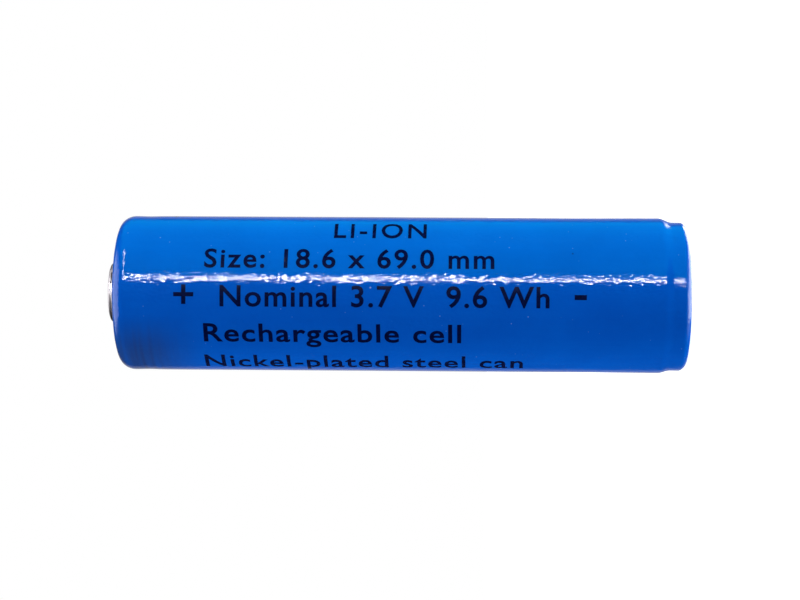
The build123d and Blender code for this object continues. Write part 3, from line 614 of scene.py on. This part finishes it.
print("moved by the relief, pleats, wander and lean:", len(turning.nodes), "nodes so far")

# %% Turning tree: place the grid and close it
weld_within = 0.001 * MM
whole = swung["position"]
for shift in (outwards, sideways, leaning):
    whole = add(turning, "ShaderNodeVectorMath", {0: whole, 1: shift}, operation="ADD")
placed = add(turning, "GeometryNodeSetPosition", {0: grid.outputs["Mesh"], "Position": whole})
closed = add(turning, "GeometryNodeMergeByDistance", {0: placed, "Distance": weld_within})
smooth = add(turning, "GeometryNodeSetShadeSmooth", {0: closed, "Shade Smooth": True})
real = add(turning, "GeometryNodeRealizeInstances", {0: smooth})
coloured = add(turning, "GeometryNodeSetMaterial", {0: real, "Material": given["Material"]})
add(turning, "NodeGroupOutput", {"Geometry": coloured})
print("turning tree:", len(turning.nodes), "nodes")

# %% Run a tree on an object and keep the plain mesh


def grow(piece, tree, **values):
    """Evaluates the tree on the piece and gives the piece the plain mesh that comes out."""
    modifier = piece.modifiers.new(tree.name, "NODES")
    modifier.node_group = tree
    for item in tree.interface.items_tree:
        key = item.name.replace(" ", "_")
        if item.in_out == "INPUT" and key in values:
            modifier[item.identifier] = values[key]
    result = bpy.data.meshes.new_from_object(
        piece.evaluated_get(bpy.context.evaluated_depsgraph_get()))
    piece.modifiers.remove(modifier)
    piece.data = result
    piece.data.name = piece.name
    print(piece.name, "has", len(result.vertices), "points and", len(result.polygons), "faces")
    return piece


def volume_of(piece):
    """The volume in a closed mesh in cubic millimetres, negative if it is inside out."""
    shape = bmesh.new()
    shape.from_mesh(piece.data)
    unpaired = sum(not edge.is_manifold for edge in shape.edges)
    inside = shape.calc_volume(signed=True) / MM ** 3
    shape.free()
    print(piece.name, "volume", round(inside, 3), "mm3, edges without two faces", unpaired)
    return inside


# %% Turn the sleeve
tree_values = {name.replace(" ", "_"): value for name, value in relief_sizes.items()}
grow(film_object, turning, Columns=288, Pleat_depth=0.07, Lip_wander=0.22, Lean=0.1,
     Material=film_material, **tree_values)
if volume_of(film_object) < 0:
    film_object.data.flip_normals()
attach(film_object, "root")
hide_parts("outer_sleeve")

# %% [markdown]
# ## Printing
#
# The marks run along the cell from the button to the board in five lines, so they read when
# the button is on the left. They are generic words and figures: what kind of cell it is, its
# size, voltage and energy, what its can is made of, and a plus and a minus at the ends. A
# picture on a UV map could carry them, but ink has a thickness and an edge, and here the letters
# stay sharp at any distance. A text object writes each line flat, a little bolder than the font
# by its offset. The tree then divides it finely, fits it to its length, and wraps it round the
# film at its angle, lying on the same relief, with an upper and a lower skin.

# %% Printing tree: divide the letters and fit them to their length
# The flat letters come in as the piece's own mesh, in millimetres, baseline on the X axis.
ink_over, ink_under = 0.016, -0.03     # the ink's two skins, from the film's surface
printing = bpy.data.node_groups.new("print_line", "GeometryNodeTree")
printing.interface.new_socket("Geometry", in_out="INPUT", socket_type="NodeSocketGeometry")
for name in ("Length", "Start", "Angle", *relief_sizes):
    printing.interface.new_socket(name, in_out="INPUT", socket_type="NodeSocketFloat")
printing.interface.new_socket("Material", in_out="INPUT", socket_type="NodeSocketMaterial")
printing.interface.new_socket("Geometry", in_out="OUTPUT", socket_type="NodeSocketGeometry")
given = add(printing, "NodeGroupInput").outputs
divided = add(printing, "GeometryNodeSubdivideMesh", {0: given["Geometry"], "Level": 2})
extent = add(printing, "GeometryNodeBoundBox", {0: divided})
width = add(printing, "ShaderNodeVectorMath", {0: extent.outputs["Max"], 1: extent.outputs["Min"]},
            operation="SUBTRACT")
wide = add(printing, "ShaderNodeSeparateXYZ", {0: width}).outputs
start = add(printing, "ShaderNodeSeparateXYZ", {0: extent.outputs["Min"]}).outputs
spot = add(printing, "GeometryNodeInputPosition")
flat = add(printing, "ShaderNodeSeparateXYZ", {0: spot}).outputs
from_start = add(printing, "ShaderNodeMath", {0: flat["X"], 1: start["X"]}, operation="SUBTRACT")
portion = add(printing, "ShaderNodeMath", {0: from_start, 1: wide["X"]}, operation="DIVIDE")
run = add(printing, "ShaderNodeMath", {0: portion, 1: given["Length"]}, operation="MULTIPLY")
along = add(printing, "ShaderNodeMath", {0: given["Start"], 1: run}, operation="SUBTRACT")
print("printing tree's inputs:", len(given) - 1)

# %% Printing tree: wrap the letters round the film
# Height on the letter becomes an angle round the film.
risen = add(printing, "ShaderNodeMath", {0: flat["Y"], 1: film_radius}, operation="DIVIDE")
base_angle = add(printing, "ShaderNodeMath", {0: given["Angle"]}, operation="RADIANS")
round_to = add(printing, "ShaderNodeMath", {0: base_angle, 1: risen}, operation="ADD")
sine = add(printing, "ShaderNodeMath", {0: round_to}, operation="SINE")
cosine = add(printing, "ShaderNodeMath", {0: round_to}, operation="COSINE")
facing = add(printing, "ShaderNodeMath", {0: cosine, 1: -1.0}, operation="MULTIPLY")
normal = add(printing, "ShaderNodeCombineXYZ", {"X": sine, "Y": facing})
ring = add(printing, "ShaderNodeVectorMath", {0: normal, "Scale": film_radius}, operation="SCALE")
level = add(printing, "ShaderNodeCombineXYZ", {"Z": along})
place = add(printing, "ShaderNodeVectorMath", {0: ring, 1: level}, operation="ADD")
rise = add(printing, "GeometryNodeGroup", node_tree=relief)
printing.links.new(place.outputs[0], rise.inputs["Place"])
for name in relief_sizes:
    printing.links.new(given[name], rise.inputs[name])
print("wrapped at a radius of", round(film_radius, 3), "mm plus the relief")

# %% Printing tree: two skins, joined along the letters' edges
skins = []
for height in (ink_over, ink_under):
    skin_rise = add(printing, "ShaderNodeMath", {0: rise, 1: height}, operation="ADD")
    lifted = add(printing, "ShaderNodeVectorMath", {0: normal, "Scale": skin_rise},
                 operation="SCALE")
    skin_place = add(printing, "ShaderNodeVectorMath", {0: place, 1: lifted}, operation="ADD")
    skins.append(add(printing, "ShaderNodeVectorMath", {0: skin_place, "Scale": MM},
                     operation="SCALE"))
thickness = add(printing, "ShaderNodeVectorMath", {0: skins[0], 1: skins[1]}, operation="SUBTRACT")
kept = add(printing, "GeometryNodeStoreNamedAttribute",
           {0: divided, "Name": "thickness", "Value": thickness}, data_type="FLOAT_VECTOR")
laid = add(printing, "GeometryNodeSetPosition", {0: kept, "Position": skins[1]})
underside = add(printing, "GeometryNodeFlipFaces", {0: laid})
read = add(printing, "GeometryNodeInputNamedAttribute", {"Name": "thickness"},
           data_type="FLOAT_VECTOR")
raised = add(printing, "GeometryNodeExtrudeMesh",
             {0: laid, "Offset Scale": 0.0, "Individual": False})
lift = add(printing, "GeometryNodeSetPosition",
           {0: raised, "Selection": raised.outputs["Top"], "Offset": read})
both = add(printing, "GeometryNodeJoinGeometry", {0: underside})
printing.links.new(lift.outputs[0], both.inputs[0])
sealed = add(printing, "GeometryNodeMergeByDistance", {0: both, "Distance": weld_within / 2})
crisp = add(printing, "GeometryNodeSetShadeSmooth", {0: sealed, "Shade Smooth": False})
real = add(printing, "GeometryNodeRealizeInstances", {0: crisp})
coloured = add(printing, "GeometryNodeSetMaterial", {0: real, "Material": given["Material"]})
add(printing, "NodeGroupOutput", {"Geometry": coloured})
print("printing tree:", len(printing.nodes), "nodes")

# %% The printed marks
CAP_SHARE = 0.7              # height of the font's capitals at size 1
BOLDER = 0.055               # mm by which each letter's outline is moved out
# piece: (words, cap height, letter spacing, length, start above the board end, angle up from -Y)
marks = {
    "print_cell_kind": ("LI-ION", 2.95, 1.2, 10.87, 41.8, 45.2),
    "print_cell_size": ("Size: 18.6 x 69.0 mm", 2.44, 1.15, 33.8, 56.8, 18.9),
    "print_plus": ("+", 3.25, 1.0, 2.34, 60.3, -11.2),
    "print_ratings": ("Nominal 3.7 V  9.6 Wh", 2.45, 1.1, 38.3, 54.9, -9.4),
    "print_minus": ("-", 3.5, 1.0, 1.4, 13.7, -8.6),
    "print_use": ("Rechargeable cell", 2.45, 1.1, 30.1, 56.9, -37.6),
    "print_case": ("Nickel-plated steel can", 2.9, 1.1, 37.6, 57.1, -69.6),
}


def flat_letters(name, words, cap, spacing):
    """A line of text as a flat mesh, in millimetres."""
    text = bpy.data.curves.new(name, "FONT")
    text.body, text.size, text.space_character = words, cap / CAP_SHARE, spacing
    text.offset, text.resolution_u = BOLDER, 4
    holder = in_scene(name, text)
    mesh = bpy.data.meshes.new_from_object(
        holder.evaluated_get(bpy.context.evaluated_depsgraph_get()))
    bpy.data.objects.remove(holder)
    return in_scene(name, mesh)


for name, (words, cap, spacing, length, start, angle) in marks.items():
    mark = flat_letters(name, words, cap, spacing)
    grow(mark, printing, Length=length, Start=start, Angle=angle, Material=ink_material,
         **tree_values)
    if volume_of(mark) < 0:
        mark.data.flip_normals()
    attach(mark, "root")

# %% [markdown]
# ## Button
#
# The button is one stamping of nickel-plated strip: a low cup turned upside down with a flange
# round it and three slots in its wall, through which the cell can breathe. Its edges are as
# round as the punch left them. The flange has round dimples where the welder's electrodes
# pressed, and the top has a shallow dish. Bevelling the measured mesh would tear its loose
# triangles, so the section is turned again on a fine grid, dimpled point by point, and the
# slots are cut with a Boolean.

# %% Helpers for turned pieces
AXIS_GAP = 0.0005            # mm; a section stops this short of the axis, and welding closes it


def turned_piece(name, points, columns, shape_point=None):
    """A closed section in millimetres turned round the axis; shape_point may move each point."""
    rows = len(points)
    places = []
    for i in range(columns):
        a = math.tau * i / columns
        for r, z in points:
            x, y = r * math.cos(a), r * math.sin(a)
            places.append(shape_point(x, y, z) if shape_point else (x, y, z))
    faces = [(i * rows + j, i * rows + (j + 1) % rows,
              (i + 1) % columns * rows + (j + 1) % rows, (i + 1) % columns * rows + j)
             for i in range(columns) for j in range(rows)]
    mesh = bpy.data.meshes.new(name)
    mesh.from_pydata([tuple(c * MM for c in p) for p in places], [], faces)
    piece = in_scene(name, mesh)
    shape = bmesh.new()
    shape.from_mesh(mesh)
    bmesh.ops.remove_doubles(shape, verts=shape.verts, dist=AXIS_GAP * MM)
    bmesh.ops.dissolve_degenerate(shape, edges=shape.edges, dist=0.0002 * MM)
    bmesh.ops.recalc_face_normals(shape, faces=shape.faces)
    shape.to_mesh(mesh)
    shape.free()
    if volume_of(piece) < 0:
        mesh.flip_normals()
    return piece


def rounded(points, radii, arc_steps=4, pitch=0.12):
    """A closed section from its corners, each rounded by its radius, with short steps between."""
    made = []
    count = len(points)
    for i in range(count):
        before, here, after = (Vector(points[(i + k) % count]) for k in (-1, 0, 1))
        into, out = (here - before).normalized(), (after - here).normalized()
        half_turn = into.angle_signed(out, 0) / 2
        reach = radii[i] * abs(math.tan(half_turn))
        first, last = here - into * reach, here + out * reach
        if made:
            gap = math.dist(made[-1], first)
            made += line(made[-1], first, pitch) if gap > pitch else []
        if reach > 1e-6:
            for k in range(arc_steps + 1):
                t = k / arc_steps
                made.append(tuple(first * (1 - t) ** 2 + here * (2 * t * (1 - t)) + last * t * t))
        else:
            made.append(tuple(here))
    made += line(made[-1], made[0], pitch) if math.dist(made[-1], made[0]) > pitch else []
    return made


def dimple(x, y, centre, radius):
    """How deep a pressed dimple is at a place: 1 in its middle, below 0 on its raised rim."""
    t = math.dist((x, y), centre) / radius
    return math.exp(-(t * 1.6) ** 4) - 0.35 * math.exp(-((t - 1.15) / 0.22) ** 2)


print("helpers: turned_piece, rounded, dimple")

# %% Button: its sizes and what the press left
button_low, button_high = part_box("button_cap")
foot, crown = button_low.z / MM, button_high.z / MM
flange_radius = button_high.x / MM
button_sheet = 0.2
flange_width = 1.15
button_radius = flange_radius - flange_width
dish_radius, dish_depth = button_radius - 0.5, 0.035
probe_spot, probe_radius, probe_depth = (0.9, -0.4), 0.3, 0.02
slot_length, slot_height = 1.6, 0.3
slot_facets = 10             # round each end of a slot
slot_reach = 0.6             # how far a slot's cutter passes the wall, in and out
weld_radius, weld_depth = 0.34, 0.05
weld_circle = (flange_radius + button_radius) / 2 + 0.03
weld_spots = [(weld_circle * math.cos(a), weld_circle * math.sin(a))
              for a in (math.radians(90 + 120 * i + side) for i in range(3) for side in (-9, 9))]


def pressed_button(x, y, z):
    """Weld dimples in the flange, and a shallow dish and a probe's mark in the top."""
    r = math.hypot(x, y)
    if z < foot + button_sheet + 0.02 and z > foot + 0.05 and r > button_radius + 0.25:
        z -= weld_depth * sum(dimple(x, y, spot, weld_radius) for spot in weld_spots)
    if z > crown - button_sheet - 0.02 and r < dish_radius:
        z -= dish_depth * (1 - (r / dish_radius) ** 2) ** 2
        if z > crown - 0.1:
            z -= probe_depth * max(0, dimple(x, y, probe_spot, probe_radius))
    return x, y, z


print("button radius", round(button_radius, 2), "weld spots", len(weld_spots))

# %% Button: turn its section
inner_wall = button_radius - button_sheet
button_section = rounded(
    [(AXIS_GAP, crown), (button_radius, crown), (button_radius, foot + button_sheet),
     (flange_radius, foot + button_sheet), (flange_radius, foot), (inner_wall, foot),
     (inner_wall, crown - button_sheet), (AXIS_GAP, crown - button_sheet)],
    [0, 0.3, 0.1, 0.07, 0.05, 0.25, 0.12, 0], 5, 0.09)
button = turned_piece("button_contact", button_section, 240, pressed_button)

# %% Button: its slots


def slot_cutter(facing):
    """A bar with round ends to its section, across the button's wall at an angle."""
    outline = []
    for side, start in ((1, -90), (-1, 90)):
        outline += [(side * (slot_length - slot_height) / 2 + slot_height / 2 * math.cos(a),
                     slot_height / 2 * math.sin(a))
                    for a in (math.radians(start + 180 * k / slot_facets)
                              for k in range(slot_facets + 1))]
    shape = bmesh.new()
    ends = []
    for depth in (button_radius - slot_reach, button_radius + slot_reach):
        ends.append([shape.verts.new(Vector((
            depth * math.cos(facing) - u * math.sin(facing),
            depth * math.sin(facing) + u * math.cos(facing),
            (foot + crown) / 2 + v)) * MM) for u, v in outline])
    shape.faces.new(ends[0][::-1])
    shape.faces.new(ends[1])
    for k in range(len(outline)):
        after = (k + 1) % len(outline)
        shape.faces.new((ends[0][k], ends[0][after], ends[1][after], ends[1][k]))
    bmesh.ops.recalc_face_normals(shape, faces=shape.faces)
    mesh = bpy.data.meshes.new("slot_cutter")
    shape.to_mesh(mesh)
    shape.free()
    return in_scene("slot_cutter", mesh)


def finish_metal(piece, material, angle=35):
    """Applies what modifiers the piece has, smooths it up to an angle, and gives its material."""
    result = bpy.data.meshes.new_from_object(
        piece.evaluated_get(bpy.context.evaluated_depsgraph_get()))
    piece.modifiers.clear()
    piece.data = result
    result.name = piece.name
    result.materials.clear()
    result.materials.append(material)
    result.shade_smooth()
    result.set_sharp_from_angle(angle=math.radians(angle))
    print(piece.name, "finished with", len(result.polygons), "faces")


cutters = [slot_cutter(math.radians(30 + 120 * i - 90)) for i in range(3)]
for cutter in cutters:
    cut = button.modifiers.new("slot", "BOOLEAN")
    cut.operation, cut.solver, cut.object = "DIFFERENCE", "EXACT", cutter
finish_metal(button, metals["satin_nickel_plated_steel"])
for cutter in cutters:
    bpy.data.objects.remove(cutter)
volume_of(button)
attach(button, "root")
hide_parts("button_cap")

# %% [markdown]
# ## Paper washer and contact plate
#
# The washer is punched from barley paper and self-adhesive. It isn't flat: it sinks in low waves
# towards its hole, whose edge the punch left a little torn. The contact plate on the circuit
# board is a coined disc with a set-back rim that the film's lip folds over, and chargers have
# rubbed a ring into its plating. Both are turned and moved point by point, as the button is.

# %% Paper washer
washer_low, washer_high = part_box("insulating_washer")
bottom, top = washer_low.z / MM, washer_high.z / MM
washer_outer, washer_inner = washer_high.x / MM, 5.05
wave_depth, wave_width = 0.03, 1.6      # how deep, and how far from the hole
torn_depth = 0.03


def lying_paper(x, y, z):
    """Low waves round the washer, deepest at its hole, and a slightly torn edge there."""
    a = math.atan2(y, x)
    r = math.hypot(x, y)
    free = max(0, 1 - (r - washer_inner) / wave_width)
    wave = 0.5 + 0.3 * math.sin(3 * a + 0.7) + 0.2 * math.sin(7 * a + 2.1)
    z -= wave_depth * free * wave
    torn = torn_depth * math.sin(23 * a) * math.sin(41 * a + 1) * (r < washer_inner + 0.05)
    return x * (1 + torn / r), y * (1 + torn / r), z


washer_section = rounded([(washer_inner, top), (washer_outer, top), (washer_outer, bottom),
                          (washer_inner, bottom)], [0.03, 0.05, 0.03, 0.03], 2, 0.25)
washer = turned_piece("paper_washer", washer_section, 288, lying_paper)
finish_metal(washer, plain["barley_paper_fibre"])
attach(washer, "root")
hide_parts("insulating_washer")

# %% Contact plate
plate_low, plate_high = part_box("negative_contact_plate")
plate_face, plate_back = plate_low.z / MM, plate_high.z / MM
plate_sheet, face_radius, rim_radius = 0.25, 7.0, plate_high.x / MM
ring_radius, ring_half_width, ring_depth = 2.6, 0.35, 0.02
pin_spots, pin_radius, pin_depth = ((1.2, 3.1), (-3.4, -1.0)), 0.35, 0.03


def rubbed_plate(x, y, z):
    """A ring rubbed two hundredths deep by chargers' springs, and two pin marks."""
    r = math.hypot(x, y)
    if z < plate_face + 0.02:
        z += ring_depth * math.exp(-((r - ring_radius) / ring_half_width) ** 2)
        for spot in pin_spots:
            z += pin_depth * max(0, dimple(x, y, spot, pin_radius))
    return x, y, z


plate_section = rounded(
    [(AXIS_GAP, plate_face), (face_radius, plate_face),
     (face_radius + 0.2, plate_back - plate_sheet), (rim_radius, plate_back - plate_sheet),
     (rim_radius, plate_back), (face_radius + 0.15, plate_back),
     (face_radius - 0.05, plate_face + plate_sheet), (AXIS_GAP, plate_face + plate_sheet)],
    [0, 0.15, 0.1, 0.06, 0.04, 0.1, 0.15, 0], 4, 0.16)
plate = turned_piece("board_contact", plate_section, 200, rubbed_plate)
finish_metal(plate, metals["satin_nickel_plated_steel"])
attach(plate, "root")
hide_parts("negative_contact_plate")

# %% [markdown]
# ## Stage, lights and camera
#
# The cell stands on a pale floor against white. A glossy cylinder is lit like a bottle, where
# what it mirrors matters most. A long thin lamp along it, above the camera, draws the bright
# line, and a wider, bluish diffuser behind that lamp softens the line's edges. The room on the
# camera's side is dark, so that nothing dulls the colour, and the white behind and beyond the
# ends makes the edges pale. The film's own colour comes from softboxes that only matt light
# sees, so they draw no second line, and a bluish fill keeps the shaded side saturated. A broad
# tinted panel deepens the upper half. It is linked to the film alone, because it would show in
# the ink, and a card lights only the metal in the same way.

# %% Floor
floor_material = bpy.data.materials.new("matt_white_studio_floor")
floor_material.use_nodes = True
tree = floor_material.node_tree
tree.nodes.clear()
where = add(tree, "ShaderNodeTexCoord").outputs["Object"]
paper_grain = add(tree, "ShaderNodeTexNoise", {"Vector": where, "Scale": 40.0, "Detail": 2})
pale = add(tree, "ShaderNodeValToRGB", {"Fac": paper_grain},
           stops=((0.3, colour("#F4F4F4")), (0.7, colour("#F8F8F8"))))
floor_shader = add(tree, "ShaderNodeBsdfPrincipled",
                   {"Base Color": pale, "Roughness": 0.9, "Emission Color": (1, 1, 1, 1),
                    "Emission Strength": 0.92})
add(tree, "ShaderNodeOutputMaterial", {"Surface": floor_shader})

shape = bmesh.new()
bmesh.ops.create_circle(shape, cap_ends=True, segments=96, radius=3.0)
floor_mesh = bpy.data.meshes.new("floor")
shape.to_mesh(floor_mesh)
shape.free()
floor = in_scene("floor", floor_mesh)
floor.data.materials.append(floor_material)
floor.visible_glossy = False
floor.visible_diffuse = False
floor.visible_shadow = False
print("floor: a disc of 3 m radius")

# %% World
# Gloss sees white behind the cell and beyond its ends, matt light also gets a bluish fill from
# all round, and the camera sees plain white.
world = bpy.data.worlds.new("white_room")
bpy.context.scene.world = world
world.use_nodes = True
tree = world.node_tree
tree.nodes.clear()
heading = add(tree, "ShaderNodeTexCoord").outputs["Generated"]
parts = add(tree, "ShaderNodeSeparateXYZ", {0: heading}).outputs
behind = add(tree, "ShaderNodeMapRange", {"Value": parts["Y"], 1: 0.8, 2: 1.0, 3: 0.02, 4: 0.8})
upright = add(tree, "ShaderNodeMath", {0: parts["Z"]}, operation="ABSOLUTE")
ends = add(tree, "ShaderNodeMapRange", {"Value": upright, 1: 0.78, 2: 0.92, 3: 0.0, 4: 1.3})
room = add(tree, "ShaderNodeMath", {0: behind, 1: ends}, operation="MAXIMUM")
ray = add(tree, "ShaderNodeLightPath").outputs
shown = add(tree, "ShaderNodeBackground", {"Color": (1, 1, 1, 1), "Strength": room})
fill = add(tree, "ShaderNodeBackground",
           {"Color": (0.3, 0.55, 1, 1), "Strength": ray["Is Diffuse Ray"]})
around = add(tree, "ShaderNodeMixShader", {0: 0.3, 1: shown, 2: fill})
seen = add(tree, "ShaderNodeBackground", {"Color": (1, 1, 1, 1), "Strength": 1.0})
mixed = add(tree, "ShaderNodeMixShader", {0: ray["Is Camera Ray"], 1: around, 2: seen})
add(tree, "ShaderNodeOutputWorld", {"Surface": mixed})

# %% Lamps
MIDDLE = 0.034               # height of the middle of the cell, metres


def lamp(name, towards, distance, height, length, radiance, seen="both", tint=(1, 1, 1),
         only=()):
    """A rectangular lamp facing the middle of the cell, its length along Z as far as it can be.
    It is seen by gloss, matt or both, and it lights all pieces or only those named."""
    light = bpy.data.lights.new(name, "AREA")
    light.color = tint
    light.shape, light.size, light.size_y = "RECTANGLE", height, length
    light.energy = radiance * math.pi * height * length    # so radiance is what a mirror shows
    holder = in_scene(name, light)
    out = Vector(towards).normalized()
    upright = Vector((0, 0, 1)) - out * out.z
    upright.normalize()
    side = upright.cross(out)
    turn = Matrix((side, upright, out)).transposed().to_4x4()
    holder.matrix_world = Matrix.Translation(out * distance + Vector((0, 0, MIDDLE))) @ turn
    holder.visible_camera = False
    holder.visible_glossy = seen != "matt"
    holder.visible_diffuse = seen != "gloss"
    if only:
        lit = bpy.data.collections.new(name + "_lights")
        for piece in only:
            lit.objects.link(bpy.data.objects[piece])
        holder.light_linking.receiver_collection = lit


above = math.radians(21.6)   # the line lamp's place round the cell, from the camera's side
line_side = (math.sin(above), -math.cos(above), 0)
lamp("line_lamp", line_side, 0.4, 0.006, 0.5, 105, seen="gloss")
lamp("line_diffuser", line_side, 0.41, 0.036, 0.5, 5.5, seen="gloss", tint=(0.6, 0.85, 1))
lamp("upper_panel", (1, -0.17, 0), 0.4, 1.35, 0.8, 1.5, seen="gloss", tint=(0, 0.5, 0.8),
     only=["shrink_sleeve"])
lamp("shoulder_lamp", (0.652, -0.608, 0.454), 0.4, 0.26, 0.02, 16)
lamp("button_card", (0.64, -0.77, 0.14), 0.4, 1.6, 0.6, 0.9, seen="gloss",
     only=["button_contact", "board_contact"])
lamp("front_panel", (0.5, -1, 0.48), 0.5, 0.6, 0.24, 1.4, seen="matt")
lamp("end_lamp", (0.2, 0.45, -1), 0.3, 0.2, 0.55, 4)
lamp("button_end_lamp", (0, -0.1, 1), 0.35, 0.34, 0.34, 1.3, seen="gloss")
lamp("key_softbox", (1, 0.15, 0.1), 0.6, 0.42, 0.8, 1.5, seen="matt")
lamp("low_softbox", (-0.866, 0.5, 0.1), 0.6, 0.5, 0.8, 2.9, seen="matt")

# %% Camera
# It looks straight at the side of the cell with +X up and the button to the left, from 250 mm.
distance = 0.25
yaw = 0.034                  # radians, towards the board end
roll = math.radians(0.36)
target = Vector((0, 0, 0.03398))
slid_left, slid_down = 0.00024, 0.0007
camera_data = bpy.data.cameras.new("camera")
camera_data.sensor_width = 36
camera_data.lens = 93.5
camera = in_scene("camera", camera_data)
back = Vector((0, -math.cos(yaw), -math.sin(yaw)))
level = Vector((0, math.sin(yaw), -math.cos(yaw)))
upward = Vector((1, 0, 0))
right = level * math.cos(roll) + upward * math.sin(roll)
top_side = upward * math.cos(roll) - level * math.sin(roll)
place = target + back * distance - right * slid_left - top_side * slid_down
camera.matrix_world = Matrix.Translation(place) @ Matrix(
    (right, top_side, back)).transposed().to_4x4()
bpy.context.scene.camera = camera
bpy.context.scene.view_settings.view_transform = "Standard"
print("camera at", [round(c / MM, 1) for c in place])
